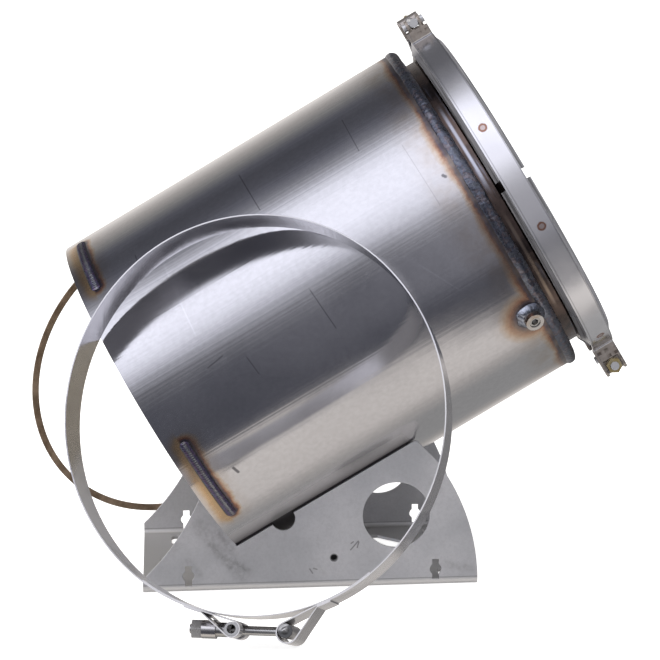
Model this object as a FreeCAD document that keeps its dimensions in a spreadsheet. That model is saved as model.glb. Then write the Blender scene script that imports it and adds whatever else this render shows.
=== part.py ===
import FreeCAD, Part
import math
import os
import re
import Sketcher

# Diesel particulate filter canister, with the fittings it is sold with: the V-band on its
# flange, the folded cradle it lies in, a loose mounting strap and a loose gasket ring.
# Millimetres, +Z up, floor at zero, +X along the cradle, front of the set towards -Y.

Vector = FreeCAD.Vector
doc = FreeCAD.newDocument("particulate_filter")
sheet = doc.addObject("Spreadsheet::Sheet", "sizes")

# Driving dimensions: alias, value, meaning
DRIVING = [
    ("tilt", 30, "canister axis above the floor, degrees"),
    ("shell_radius", 165, "outside of the rolled shell"),
    ("shell_wall", 2, "shell sheet"),
    ("shell_length", 347, "open end to shoulder plate"),
    ("seat_gap", 0.2, "clearance where one piece rests on another"),
    ("mat_thickness", 6, "mat between shell and ceramic"),
    ("fit_gap", 0.15, "clearance between pieces pushed into one another"),
    ("brick_recess", 12, "open end of the shell to the ceramic"),
    ("brick_back", 30.2, "ceramic to the shoulder plate, leaving a brick of twelve inches"),
    ("mat_inset", 4, "mat stops short of the ceramic's ends"),
    ("retainer_sheet", 1.5, "rings that hold the mat"),
    ("retainer_depth", 9, "radial leg of those rings"),
    ("retainer_skirt", 6, "length of their outer skirt"),
    ("shoulder_thick", 5, "annular plate at the flange end"),
    ("shoulder_inset", 1, "plate edge below the shell's outside"),
    ("neck_inset", 17, "outside of the neck below the shell's outside"),
    ("neck_wall", 2.5, "neck tube"),
    ("neck_length", 12, "shoulder plate to flange"),
    ("weld_rise", 1.4, "girth bead above the shell"),
    ("weld_lap", 5, "girth bead on the shell"),
    ("weld_drop", 4, "girth bead down the plate"),
    ("bead_place", 16, "stop beads from the open end"),
    ("bead_width", 10, "stop bead"),
    ("bead_rise", 2.2, "stop bead above the shell"),
    ("bead_span_angle", 36, "stop bead round the shell, degrees"),
    ("bead_span_low_angle", 24, "the stop bead between the cradle's plates, degrees"),
    ("bead_turn_angle", 290.5, "middle of the lower front stop bead, degrees from underneath"),
    ("boss_inset", 13, "port boss from the flange end of the shell"),
    ("boss_turn_angle", 298.5, "port boss, degrees from underneath"),
    ("boss_radius", 8.3, "port boss"),
    ("boss_height", 11, "port boss above the shell"),
    ("boss_bore", 5, "radius of its threaded bore"),
    ("boss_inside", 1, "port boss inside the shell sheet"),
    ("boss_weld_reach", 5.2, "weld round the boss"),
    ("plug_inset", 1, "plug below the boss face"),
    ("plug_length", 9, "screw plug"),
    ("plug_socket", 2.9, "half of the plug's hexagon socket"),
    ("flange_reach", 16, "end of the neck to the flange face, also the V-band's middle"),
    ("groove_half", 7.5, "half of the V groove at its crown"),
    ("groove_angle", 26.5, "leg of the V from the radius, degrees"),
    ("crown_inset", 0.3, "inside of the V-band's crown below the shell's outside"),
    ("leg_depth", 11.2, "radial depth of the V-band's legs"),
    ("rim_gap", 3.2, "flange rim to the crown"),
    ("v_sheet", 1.5, "V retainers"),
    ("v_span_angle", 79, "one V retainer, degrees"),
    ("v_pitch_angle", 82.5, "one V retainer to the next, degrees"),
    ("retainer_turn_angle", 257, "gap between the two front V retainers, degrees from underneath"),
    ("clamp_turn_angle", 266, "middle of the front half band, degrees from underneath"),
    ("band_sheet", 1.5, "half band"),
    ("band_width", 21, "half band"),
    ("bolt_height_top", 12.3, "upper clamp bolt above the half bands"),
    ("bolt_height_bottom", 17.8, "lower clamp bolt above the half bands"),
    ("bolt_radius", 4, "clamp bolts, M8"),
    ("tee_radius", 3.6, "T bar of the clamp bolts"),
    ("tee_length", 21, "T bar of the clamp bolts"),
    ("tee_offset", 30, "T bar from the parting line"),
    ("tee_head", 8, "clamp bolt beyond the middle of its T bar"),
    ("tee_base", 6, "full width of the T loop above the half band"),
    ("tee_tongue", 15, "width of the T loop above that"),
    ("barrel_radius", 6.4, "trunnion of the clamp bolts"),
    ("barrel_length", 20.4, "trunnion of the clamp bolts"),
    ("barrel_offset", 27, "trunnion from the parting line"),
    ("barrel_flat", 2.5, "trunnion's flat from its middle"),
    ("barrel_crest", 4.2, "cut top of the upper trunnion loop above its bolt"),
    ("pin_gap", 0.2, "loops round the T bars and trunnions"),
    ("bolt_gap", 0.3, "bolts in the trunnions"),
    ("nut_flats", 13, "clamp nut, M8"),
    ("nut_height", 8, "clamp nut, M8"),
    ("bolt_end", 3, "bolt tip beyond the clamp nut"),
    ("tee_slot", 9, "open slot for the bolt in the T loop"),
    ("nut_slot", 15.6, "open slot for the nut in the trunnion loop"),
    ("cradle_left", -151.5, "left end of the cradle"),
    ("cradle_length", 305.5, "cradle along X"),
    ("cradle_depth", 198, "cradle along Y, over the plates"),
    ("cradle_sheet", 3, "folded sheet"),
    ("bend_radius", 4, "inside of the folds"),
    ("corner_x", -65.5, "recess corner under the open end"),
    ("corner_z", 42.5, "recess corner under the open end"),
    ("seat_length", 189, "sloping seat from the corner"),
    ("seat_round", 4, "rounded top of the seat"),
    ("drop_angle", 46, "short edge below the seat's top, degrees"),
    ("drop_length", 26, "short edge below the seat's top"),
    ("bulge_radius", 188, "right edge of the plates"),
    ("bulge_foot", 9, "height where the right edge starts"),
    ("stop_height", 58, "stop edge from the corner"),
    ("stop_top_width", 2.4, "flat top of the stop"),
    ("hollow_radius", 226, "left edge of the plates"),
    ("hollow_foot", 13, "height where the left edge starts"),
    ("window_x", 80, "big round hole in the plates"),
    ("window_z", 67.5, "big round hole in the plates"),
    ("window_radius", 30.6, "big round hole in the plates"),
    ("scoop_along", 49, "half-round scoop along the seat"),
    ("scoop_radius", 11, "half-round scoop in the seat"),
    ("key_half_pitch", 112.8, "keyhole slots from their middle"),
    ("key_middle", 2.9, "middle between the keyhole slots"),
    ("key_z", 15.5, "keyhole slots"),
    ("key_radius", 5.4, "keyhole slots"),
    ("key_width", 6.2, "keyhole slots"),
    ("key_height", 19, "keyhole slots"),
    ("pilot_x", 22.7, "small round hole"),
    ("pilot_z", 29, "small round hole"),
    ("pilot_radius", 3, "small round hole"),
    ("floor_window_length", 176, "opening in the cradle's floor"),
    ("floor_window_depth", 132, "opening in the cradle's floor"),
    ("floor_window_x", 14, "middle of that opening"),
    ("floor_window_chamfer", 26, "its cut corners"),
    ("floor_hole_radius", 4.7, "bolt slots in the cradle's floor"),
    ("floor_hole_length", 28, "bolt slots in the cradle's floor"),
    ("floor_hole_x", 123, "bolt slots in the cradle's floor"),
    ("floor_hole_y", 69, "bolt slots in the cradle's floor"),
    ("tag_hole_radius", 3, "small holes in the cradle's floor"),
    ("tag_hole_x", 136, "small holes in the cradle's floor"),
    ("strap_x", -52.6, "middle of the loose strap"),
    ("strap_y", -300, "middle of the loose strap, settled against the shell below"),
    ("strap_turn_angle", -12.3, "loose strap turned about Z, degrees"),
    ("strap_lean_angle", 20.2, "loose strap leaning back, degrees"),
    ("strap_half_width", 162.2, "inside of the loose strap, sideways"),
    ("strap_half_height", 170.5, "inside of the loose strap, upwards"),
    ("strap_sheet", 1.2, "loose strap"),
    ("strap_width", 50, "loose strap"),
    ("liner_sheet", 1, "liner under the strap's bolt"),
    ("liner_left", 88, "left end of the liner from the strap's middle"),
    ("liner_right", 104, "right end of the liner from the strap's middle"),
    ("strap_bolt_line", 181, "strap bolt below the strap's middle"),
    ("strap_bolt_radius", 4, "strap bolt, M8"),
    ("strap_tee_x", 35, "T bar of the strap bolt"),
    ("strap_tee_radius", 6, "T bar of the strap bolt"),
    ("strap_tee_slack", 1.4, "T bar up and left of the middle of its loop"),
    ("strap_barrel_x", 10.5, "tube trunnion of the strap bolt, to the left"),
    ("strap_barrel_radius", 6, "tube trunnion of the strap bolt"),
    ("strap_barrel_bore", 4.4, "cross bore for the strap bolt"),
    ("strap_tube_bore", 3.8, "bore along the tube trunnion"),
    ("strap_split_left", 37, "where the left loop's layers part"),
    ("strap_split_right", 61, "where the right loop's layers part"),
    ("strap_tail_left", 52, "end of the left tail"),
    ("strap_tail_right", 72, "end of the right tail"),
    ("strap_tee_slot", 10, "slot for the bolt in the T loop"),
    ("strap_nut_slot", 19, "slot for sleeve and nut"),
    ("sleeve_radius", 6.2, "sleeve on the strap bolt"),
    ("sleeve_length", 11, "sleeve on the strap bolt"),
    ("collar_radius", 7.9, "washer stack on the strap bolt"),
    ("collar_length", 12.3, "washer stack on the strap bolt"),
    ("lock_nut_flats", 15, "nut of the strap bolt"),
    ("lock_nut_height", 8.4, "nut of the strap bolt"),
    ("strap_bolt_end", 2, "strap bolt beyond its nut"),
    ("gasket_x", -115.8, "middle of the loose gasket"),
    ("gasket_y", 260, "middle of the loose gasket, settled against the shell below"),
    ("gasket_turn_angle", 24.2, "loose gasket turned about Z, degrees"),
    ("gasket_lean_angle", 10.85, "loose gasket leaning forward, degrees"),
    ("gasket_radius", 154.3, "outside of the loose gasket"),
    ("gasket_face", 6.4, "radial width of the gasket"),
    ("gasket_thick", 1.8, "gasket"),
]

# Sizes worked out from the driving ones: alias, formula
WORKED_OUT = [
    ("seat_reach", "sqrt((shell_radius + seat_gap)^2 - (cradle_depth / 2 - cradle_sheet)^2)"),
    ("shell_axis_x", "corner_x - seat_reach * sin(tilt * 1deg)"),
    ("shell_axis_z", "corner_z + seat_reach * cos(tilt * 1deg)"),
    ("mat_outside", "shell_radius - shell_wall - fit_gap"),
    ("mat_inside", "mat_outside - mat_thickness"),
    ("brick_radius", "mat_inside - fit_gap"),
    ("brick_length", "shell_length - brick_recess - brick_back"),
    ("brick_end", "brick_recess + brick_length"),
    ("boss_place", "shell_length - boss_inset"),
    ("neck_radius", "shell_radius - neck_inset"),
    ("neck_start", "shell_length + shoulder_thick"),
    ("neck_end", "neck_start + neck_length"),
    ("clamp_place", "neck_end + flange_reach"),
    ("crown_radius", "shell_radius - crown_inset"),
    ("leg_radius", "crown_radius - leg_depth"),
    ("rim_radius", "crown_radius - rim_gap"),
    ("leg_run", "tan(groove_angle * 1deg)"),
    ("leg_skew", "v_sheet / cos(groove_angle * 1deg)"),
    ("groove_foot", "groove_half + (crown_radius - leg_radius) * leg_run"),
    ("cone_offset", "seat_gap / cos(groove_angle * 1deg)"),
    ("cone_top", "clamp_place - groove_half - (crown_radius - rim_radius) * leg_run + cone_offset"),
    ("cone_foot", "clamp_place - groove_foot + cone_offset"),
    ("band_inside", "crown_radius + v_sheet"),
    ("band_outside", "band_inside + band_sheet"),
    ("top_bolt_line", "band_outside + bolt_height_top"),
    ("bottom_bolt_line", "band_outside + bolt_height_bottom"),
    ("tee_inside", "tee_radius + pin_gap"),
    ("tee_outside", "tee_inside + band_sheet"),
    ("barrel_inside", "barrel_radius + pin_gap"),
    ("barrel_outside", "barrel_inside + band_sheet"),
    ("cradle_right", "cradle_left + cradle_length"),
    ("slope_x", "cos(tilt * 1deg)"),
    ("slope_z", "sin(tilt * 1deg)"),
    ("seat_top_x", "corner_x + seat_length * slope_x"),
    ("seat_top_z", "corner_z + seat_length * slope_z"),
    ("drop_x", "cos(drop_angle * 1deg)"),
    ("drop_z", "sin(drop_angle * 1deg)"),
    ("drop_foot_x", "seat_top_x + drop_length * drop_x"),
    ("drop_foot_z", "seat_top_z - drop_length * drop_z"),
    ("top_cut", "seat_round * tan((tilt + drop_angle) / 2 * 1deg)"),
    ("stop_top_x", "corner_x - stop_height * slope_z"),
    ("stop_top_z", "corner_z + stop_height * slope_x"),
    ("stop_left_x", "stop_top_x - stop_top_width * slope_x"),
    ("stop_left_z", "stop_top_z - stop_top_width * slope_z"),
    ("bulge_chord", "sqrt((drop_foot_x - cradle_right)^2 + (drop_foot_z - bulge_foot)^2)"),
    ("bulge_far", "sqrt(bulge_radius^2 - bulge_chord^2 / 4) / bulge_chord"),
    ("bulge_x", "(drop_foot_x + cradle_right) / 2 - (drop_foot_z - bulge_foot) * bulge_far"),
    ("bulge_z", "(drop_foot_z + bulge_foot) / 2 + (drop_foot_x - cradle_right) * bulge_far"),
    ("hollow_chord", "sqrt((stop_left_x - cradle_left)^2 + (stop_left_z - hollow_foot)^2)"),
    ("hollow_far", "sqrt(hollow_radius^2 - hollow_chord^2 / 4) / hollow_chord"),
    ("hollow_x", "(stop_left_x + cradle_left) / 2 - (stop_left_z - hollow_foot) * hollow_far"),
    ("hollow_z", "(stop_left_z + hollow_foot) / 2 + (stop_left_x - cradle_left) * hollow_far"),
    ("oval_shift", "(strap_half_height - strap_half_width) / (2 - sqrt(2))"),
    ("oval_tight", "strap_half_height - oval_shift"),
    ("oval_wide", "strap_half_width + oval_shift"),
    ("strap_barrel_eye", "strap_barrel_radius + pin_gap"),
    ("strap_tee_eye", "strap_tee_radius + pin_gap + strap_tee_slack * sqrt(2)"),
    ("strap_lowest", "strap_bolt_line + max(strap_barrel_eye; strap_tee_slack + strap_tee_eye) + strap_sheet"),
    ("strap_z", "strap_lowest * cos(strap_lean_angle * 1deg) + strap_width * sin(strap_lean_angle * 1deg)"),
    ("gasket_z", "gasket_radius * cos(gasket_lean_angle * 1deg)"),
]

NAMES = []


def fill_sheet():
    """Write the driving and the worked-out sizes, each under its alias."""
    row = 0
    for alias, number, meaning in DRIVING:
        row += 1
        sheet.set("A%d" % row, meaning)
        sheet.set("B%d" % row, str(number))
        sheet.setAlias("B%d" % row, alias)
        NAMES.append(alias)
    for alias, formula in WORKED_OUT:
        row += 1
        sheet.set("A%d" % row, "worked out")
        sheet.set("B%d" % row, "=" + formula)
        sheet.setAlias("B%d" % row, alias)
        NAMES.append(alias)
    doc.recompute()


def bound(expression):
    """The expression with every alias written as a cell of the sheet."""
    pattern = r"\b(" + "|".join(sorted(NAMES, key=len, reverse=True)) + r")\b"
    return re.sub(pattern, r"sizes.\1", expression)


def value(expression):
    """What the expression is worth now."""
    return float(sheet.evalExpression(bound(expression)))


def place(base, *turns):
    """A placement expression: base is three expressions, a turn is an axis letter and an angle."""
    axes = {"X": "1; 0; 0", "Y": "0; 1; 0", "Z": "0; 0; 1"}
    turn = " * ".join(
        "create(<<rotation>>; create(<<vector>>; %s); %s)" % (axes[axis], angle) for axis, angle in turns)
    if not turns:
        turn = "create(<<rotation>>; create(<<vector>>; 0; 0; 1); 0)"
    vector = "create(<<vector>>; %s; %s; %s)" % base
    return "create(<<placement>>; %s; %s)" % (vector, turn)


def on_canister(turn="0"):
    """Frame of the canister: X underneath turned by an angle about the axis, Z along the axis."""
    return place(("shell_axis_x", "0", "shell_axis_z"), ("Y", "90 - tilt"), ("Z", turn))


def put(item, expression):
    item.setExpression("Placement", bound(expression))


def new_body(name, where=None):
    body = doc.addObject("PartDesign::Body", name)
    body.Label = name
    if where:
        put(body, where)
    return body


def sketch_on(body, role, name, offset=None):
    """A sketch on one of the body's own origin planes, moved along its normal by offset."""
    plane = [item for item in body.Origin.OriginFeatures if item.Role == role][0]
    sketch = body.newObject("Sketcher::SketchObject", name)
    sketch.AttachmentSupport = [(plane, "")]
    sketch.MapMode = "FlatFace"
    if offset:
        sketch.setExpression("AttachmentOffset.Base.z", bound(offset))
    return sketch


def hold(sketch, kind, element, vertex, expression):
    """Tie one coordinate of a sketch point to an expression."""
    if expression == "0":
        axis = -2 if kind == "DistanceX" else -1
        sketch.addConstraint(Sketcher.Constraint("PointOnObject", element, vertex, axis))
        return
    rule = Sketcher.Constraint(kind, -1, 1, element, vertex, value(expression))
    number = sketch.addConstraint(rule)
    sketch.setExpression("Constraints[%d]" % number, bound(expression))


def outline(sketch, corners):
    """A closed outline. A corner is (x, y) after a straight run, or (x, y, centre x, centre y,
    way) after an arc, where way is 1 for anticlockwise and -1 for clockwise."""
    first = sketch.GeometryCount
    count = len(corners)
    for index, corner in enumerate(corners):
        before = corners[index - 1]
        start = Vector(value(before[0]), value(before[1]), 0)
        end = Vector(value(corner[0]), value(corner[1]), 0)
        if len(corner) == 2:
            sketch.addGeometry(Part.LineSegment(start, end), False)
            continue
        centre = Vector(value(corner[2]), value(corner[3]), 0)
        if corner[4] < 0:
            start, end = end, start
        circle = Part.Circle(centre, Vector(0, 0, 1), (end - centre).Length)
        angles = [math.atan2(p.y - centre.y, p.x - centre.x) for p in (start, end)]
        if angles[1] < angles[0]:
            angles[1] += 2 * math.pi
        sketch.addGeometry(Part.ArcOfCircle(circle, angles[0], angles[1]), False)
    for index, corner in enumerate(corners):
        after = corners[(index + 1) % count]
        end = 1 if len(corner) == 5 and corner[4] < 0 else 2
        start = 2 if len(after) == 5 and after[4] < 0 else 1
        here = first + index
        sketch.addConstraint(
            Sketcher.Constraint("Coincident", here, end, first + (index + 1) % count, start))
        hold(sketch, "DistanceX", here, end, corner[0])
        hold(sketch, "DistanceY", here, end, corner[1])
    for index, corner in enumerate(corners):
        if len(corner) == 5:
            before = corners[index - 1]
            run = abs(value(corner[0]) - value(before[0]))
            rise = abs(value(corner[1]) - value(before[1]))
            if run > rise:
                hold(sketch, "DistanceY", first + index, 3, corner[3])
            else:
                hold(sketch, "DistanceX", first + index, 3, corner[2])


def ring(sketch, x, y, radius):
    """A full circle tied to expressions."""
    centre = Vector(value(x), value(y), 0)
    number = sketch.addGeometry(Part.Circle(centre, Vector(0, 0, 1), value(radius)), False)
    hold(sketch, "DistanceX", number, 3, x)
    hold(sketch, "DistanceY", number, 3, y)
    rule = sketch.addConstraint(Sketcher.Constraint("Radius", number, value(radius)))
    sketch.setExpression("Constraints[%d]" % rule, bound(radius))


def box_corners(left, bottom, right, top):
    return [(left, bottom), (right, bottom), (right, top), (left, top)]


def turned(name, corners, where, span=None):
    """A body revolved about its own Z axis from corners given as (radius, height)."""
    body = new_body(name, where)
    sketch = sketch_on(body, "XZ_Plane", name + "_profile")
    outline(sketch, corners)
    feature = body.newObject("PartDesign::Revolution", name + "_turn")
    feature.Profile = sketch
    feature.ReferenceAxis = (sketch, ["V_Axis"])
    feature.Angle = 360
    if span:
        feature.Midplane = True
        feature.setExpression("Angle", bound(span))
    sketch.Visibility = False
    return body


def pad(body, sketch, length, both=False, back=False):
    feature = body.newObject("PartDesign::Pad", sketch.Name + "_pad")
    feature.Profile = sketch
    feature.setExpression("Length", bound(length))
    feature.Midplane = both
    feature.Reversed = back
    return feature


def pocket(body, sketch, length, both=False, back=False):
    """Cut against the sketch's normal, or along it when back is set."""
    feature = body.newObject("PartDesign::Pocket", sketch.Name + "_cut")
    feature.Profile = sketch
    feature.setExpression("Length", bound(length))
    feature.Midplane = both
    feature.Reversed = back
    return feature


def cylinder(name, radius, height, where):
    item = doc.addObject("Part::Cylinder", name)
    item.setExpression("Radius", bound(radius))
    item.setExpression("Height", bound(height))
    put(item, where)
    return item


def cut(name, base, tool):
    item = doc.addObject("Part::Cut", name)
    item.Base = base
    item.Tool = tool
    item.Label = name
    return item


def fuse(name, pieces):
    item = doc.addObject("Part::MultiFuse", name)
    item.Shapes = pieces
    item.Refine = True
    item.Label = name
    return item


# Canister

def make_shell():
    """Rolled shell with the hole that the port boss passes through."""
    body = turned(
        "outer_shell",
        box_corners("shell_radius - shell_wall", "0", "shell_radius", "shell_length"),
        on_canister("boss_turn_angle"))
    hole = sketch_on(body, "YZ_Plane", "port_hole")
    ring(hole, "0", "boss_place", "boss_radius")
    pocket(body, hole, "shell_radius + boss_height", back=True)
    return body


def make_filling():
    """Ceramic filter, its mat and the two angle rings that hold the mat."""
    brick = new_body("filter_substrate", on_canister())
    face = sketch_on(brick, "XY_Plane", "brick_face", "brick_recess")
    ring(face, "0", "0", "brick_radius")
    pad(brick, face, "brick_length")
    mat = turned(
        "support_mat",
        box_corners("mat_inside", "brick_recess + mat_inset", "mat_outside", "brick_end - mat_inset"),
        on_canister())
    rings = []
    ends = (("open_end_retainer", "brick_recess", "-1"), ("flange_end_retainer", "brick_end", "1"))
    for name, face_height, way in ends:
        outer = "%s + %s * retainer_sheet" % (face_height, way)
        skirt = "%s + %s * retainer_skirt" % (face_height, way)
        rings.append(turned(name, [
            ("mat_outside - retainer_depth", face_height),
            ("mat_outside", face_height),
            ("mat_outside", skirt),
            ("mat_outside - retainer_sheet", skirt),
            ("mat_outside - retainer_sheet", outer),
            ("mat_outside - retainer_depth", outer)], on_canister()))
    return [brick, mat] + rings


def make_flange_end():
    """Shoulder plate with its neck, the girth weld at its corner and the V flange."""
    edge = "shell_radius - shoulder_inset"
    bore = "neck_radius - neck_wall"
    neck = turned("flange_neck", [
        (bore, "shell_length"),
        (edge, "shell_length"),
        (edge, "neck_start"),
        ("neck_radius", "neck_start"),
        ("neck_radius", "neck_end"),
        (bore, "neck_end")], on_canister())
    weld = turned("girth_weld", [
        (edge, "shell_length"),
        ("shell_radius", "shell_length"),
        ("shell_radius", "shell_length - weld_lap"),
        ("shell_radius + weld_rise", "shell_length - weld_lap / 2"),
        ("shell_radius + weld_rise", "neck_start - shoulder_inset"),
        ("shell_radius - weld_drop", "neck_start + weld_rise"),
        ("shell_radius - weld_drop - shoulder_inset", "neck_start"),
        (edge, "neck_start")], on_canister())
    flange = turned("v_flange", [
        (bore, "neck_end"),
        ("neck_radius", "neck_end"),
        ("leg_radius", "cone_foot"),
        ("rim_radius", "cone_top"),
        ("rim_radius", "clamp_place"),
        (bore, "clamp_place")], on_canister())
    return [neck, weld, flange]


def make_stop_beads():
    """Four short welds round the open end that stop the canister in its housing."""
    beads = []
    for number in range(4):
        name = "stop_bead_%s" % "abcd"[number]
        beads.append(turned(name, [
            ("shell_radius", "bead_place - bead_width / 2"),
            ("shell_radius + bead_rise", "bead_place - bead_width / 4"),
            ("shell_radius + bead_rise", "bead_place + bead_width / 4"),
            ("shell_radius", "bead_place + bead_width / 2")],
            on_canister("bead_turn_angle + %d" % (90 * number)),
            "bead_span_low_angle" if number == 1 else "bead_span_angle"))
    return beads


def make_port():
    """Boss for a sensor, the weld round it and the screw plug in it."""
    inner = "shell_radius - shell_wall - boss_inside"
    outer = "shell_radius + boss_height"
    outward = place(("0", "0", "boss_place"), ("Y", "90"))
    frame = on_canister("boss_turn_angle") + " * " + outward
    boss = turned("sensor_boss", box_corners("boss_bore", inner, "boss_radius", outer), frame)
    collar = turned("boss_collar", [
        ("boss_radius", "shell_radius - boss_weld_reach"),
        ("boss_radius + boss_weld_reach", "shell_radius - boss_weld_reach"),
        ("boss_radius + boss_weld_reach", "shell_radius"),
        ("boss_radius + boss_weld_reach * 0.55", "shell_radius + boss_weld_reach * 0.75"),
        ("boss_radius", "shell_radius + boss_weld_reach")], frame)
    core = cylinder("shell_core", "shell_radius", "shell_length", on_canister())
    room = cylinder(
        "girth_weld_room", "shell_radius + boss_height", "boss_height * 2",
        on_canister() + " * " + place(("0", "0", "shell_length - weld_lap - seat_gap")))
    weld = cut("boss_weld", collar, fuse("boss_weld_limits", [core, room]))
    plug = new_body("boss_plug", frame)
    face = sketch_on(plug, "XY_Plane", "plug_face", outer + " - plug_inset")
    ring(face, "0", "0", "boss_bore")
    pad(plug, face, "plug_length", back=True)
    socket = sketch_on(plug, "XY_Plane", "plug_socket_face", outer + " - plug_inset")
    side = "plug_socket * 2 / sqrt(3)"
    outline(socket, [
        (side, "0"), (side + " / 2", "plug_socket"), ("0 - " + side + " / 2", "plug_socket"),
        ("0 - " + side, "0"), ("0 - " + side + " / 2", "0 - plug_socket"),
        (side + " / 2", "0 - plug_socket")])
    pocket(plug, socket, "plug_length / 2")
    return [boss, weld, plug]


# V-band

def make_retainers():
    """Four V-section segments, two under each half band."""
    low = "clamp_place - "
    high = "clamp_place + "
    section = [
        ("crown_radius", low + "groove_half"),
        ("crown_radius", high + "groove_half"),
        ("leg_radius", high + "groove_foot"),
        ("leg_radius", high + "groove_foot + leg_skew"),
        ("crown_radius + v_sheet", high + "groove_half + leg_skew * 0.5"),
        ("crown_radius + v_sheet", low + "groove_half - leg_skew * 0.5"),
        ("leg_radius", low + "groove_foot - leg_skew"),
        ("leg_radius", low + "groove_foot")]
    pieces = []
    places = (("front_upper", "- v_pitch_angle / 2"), ("front_lower", "+ v_pitch_angle / 2"),
              ("rear_lower", "- v_pitch_angle / 2 + 180"), ("rear_upper", "+ v_pitch_angle / 2 + 180"))
    for name, turn in places:
        where = on_canister("retainer_turn_angle " + turn)
        pieces.append(turned("v_retainer_" + name, section, where, "v_span_angle"))
    return pieces


def make_half_band(name, turn, barrel_line, tee_line, cut_crest):
    """Half of the outer band. Each end turns outwards and loops back over a bar: the T loop
    narrows to a slotted tongue, the trunnion loop keeps two ears beside the nut."""
    body = new_body(name, on_canister(turn))
    sketch = sketch_on(body, "XY_Plane", name + "_section", "clamp_place")

    def at(radius, x):
        return "sqrt((%s)^2 - (%s)^2)" % (radius, x)

    def minus(expression):
        return "0 - " + expression

    barrel_near = "(barrel_offset - barrel_outside)"
    barrel_far = "(barrel_offset + barrel_outside)"
    tee_near = "(tee_offset - tee_outside)"
    tee_far = "(tee_offset + tee_outside)"
    outline(sketch, [
        (barrel_near, at("band_inside", barrel_near), "0", "0", 1),
        (barrel_near, barrel_line),
        (barrel_far, barrel_line, "barrel_offset", barrel_line, -1),
        (barrel_far, at("band_outside", barrel_far)),
        (tee_far, minus(at("band_outside", tee_far)), "0", "0", -1),
        (tee_far, minus(tee_line)),
        (tee_near, minus(tee_line), "tee_offset", minus(tee_line), -1),
        (tee_near, minus(at("band_inside", tee_near)))])
    loops = (("", "barrel_offset", "barrel_inside", barrel_line),
             ("0 - ", "tee_offset", "tee_inside", tee_line))
    for side, offset, radius, line in loops:
        near = "(%s - %s)" % (offset, radius)
        far = "(%s + %s)" % (offset, radius)
        way = 1 if side else -1
        outline(sketch, [
            (near, side + at("band_outside", near), "0", "0", -way),
            (near, side + line),
            (far, side + line, offset, side + line, way),
            (far, side + at("band_outside", far))])
    pad(body, sketch, "band_width", both=True)

    def window(role, reach, left, bottom, right, top):
        face = sketch_on(body, "YZ_Plane", name + "_" + role)
        outline(face, box_corners(left, bottom, right, top))
        pocket(body, face, reach, back=True)

    barrel_reach = "barrel_offset + barrel_outside + 2"
    tee_reach = "tee_offset + tee_outside + 2"
    window("nut_slot", barrel_reach, barrel_line + " - nut_slot / 2", "clamp_place - nut_slot / 2",
           barrel_line + " + barrel_outside + 2", "clamp_place + nut_slot / 2")
    if cut_crest:
        window("crest", barrel_reach, barrel_line + " + barrel_crest", "clamp_place - band_width",
               barrel_line + " + barrel_outside + 2", "clamp_place + band_width")
    beyond = "0 - (" + tee_line + " + tee_outside + 2)"
    window("tee_slot", tee_reach, beyond, "clamp_place - tee_slot / 2",
           "0 - (" + tee_line + " - tee_slot / 2)", "clamp_place + tee_slot / 2")
    shoulder = "0 - (band_outside + tee_base)"
    window("tongue_left", tee_reach, beyond, "clamp_place - band_width",
           shoulder, "clamp_place - tee_tongue / 2")
    window("tongue_right", tee_reach, beyond, "clamp_place + tee_tongue / 2",
           shoulder, "clamp_place + band_width")
    return body


def hexagon(sketch, x, y, flats):
    """A hexagon with two flats across sketch Y."""
    side = "(%s) / sqrt(3)" % flats
    outline(sketch, [
        (x + " + " + side, y),
        (x + " + %s / 2" % side, y + " + (%s) / 2" % flats),
        (x + " - %s / 2" % side, y + " + (%s) / 2" % flats),
        (x + " - " + side, y),
        (x + " - %s / 2" % side, y + " - (%s) / 2" % flats),
        (x + " + %s / 2" % side, y + " - (%s) / 2" % flats)])


def make_clamp_hardware(where, turn, line):
    """One clamp bolt with its T bar, its trunnion and its nut; the bolt points along +X."""
    frame = on_canister(turn)
    shank = cylinder(
        "shank_" + where, "bolt_radius",
        "tee_head + tee_offset + barrel_offset + barrel_flat + nut_height + bolt_end",
        frame + " * " + place(("0 - tee_offset - tee_head", line, "clamp_place"), ("Y", "90")))
    bar = cylinder(
        "bar_" + where, "tee_radius", "tee_length",
        frame + " * " + place(("0 - tee_offset", line, "clamp_place - tee_length / 2")))
    bolt = fuse("v_t_bolt_" + where, [shank, bar])
    trunnion = new_body("v_trunnion_" + where, frame)
    end = sketch_on(trunnion, "XY_Plane", "trunnion_end_" + where, "clamp_place")
    half = "sqrt(barrel_radius^2 - barrel_flat^2)"
    outline(end, [
        ("barrel_offset + barrel_flat", line + " + " + half),
        ("barrel_offset + barrel_flat", line + " - " + half, "barrel_offset", line, 1)])
    pad(trunnion, end, "barrel_length", both=True)
    bore = sketch_on(trunnion, "YZ_Plane", "trunnion_bore_" + where)
    ring(bore, line, "clamp_place", "bolt_radius + bolt_gap")
    pocket(trunnion, bore, "barrel_offset + barrel_radius + 2", back=True)
    nut = new_body("v_nut_" + where, frame)
    face = sketch_on(nut, "YZ_Plane", "nut_face_" + where, "barrel_offset + barrel_flat")
    hexagon(face, line, "clamp_place", "nut_flats")
    ring(face, line, "clamp_place", "bolt_radius")
    pad(nut, face, "nut_height")
    return [bolt, trunnion, nut]


# Cradle

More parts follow.
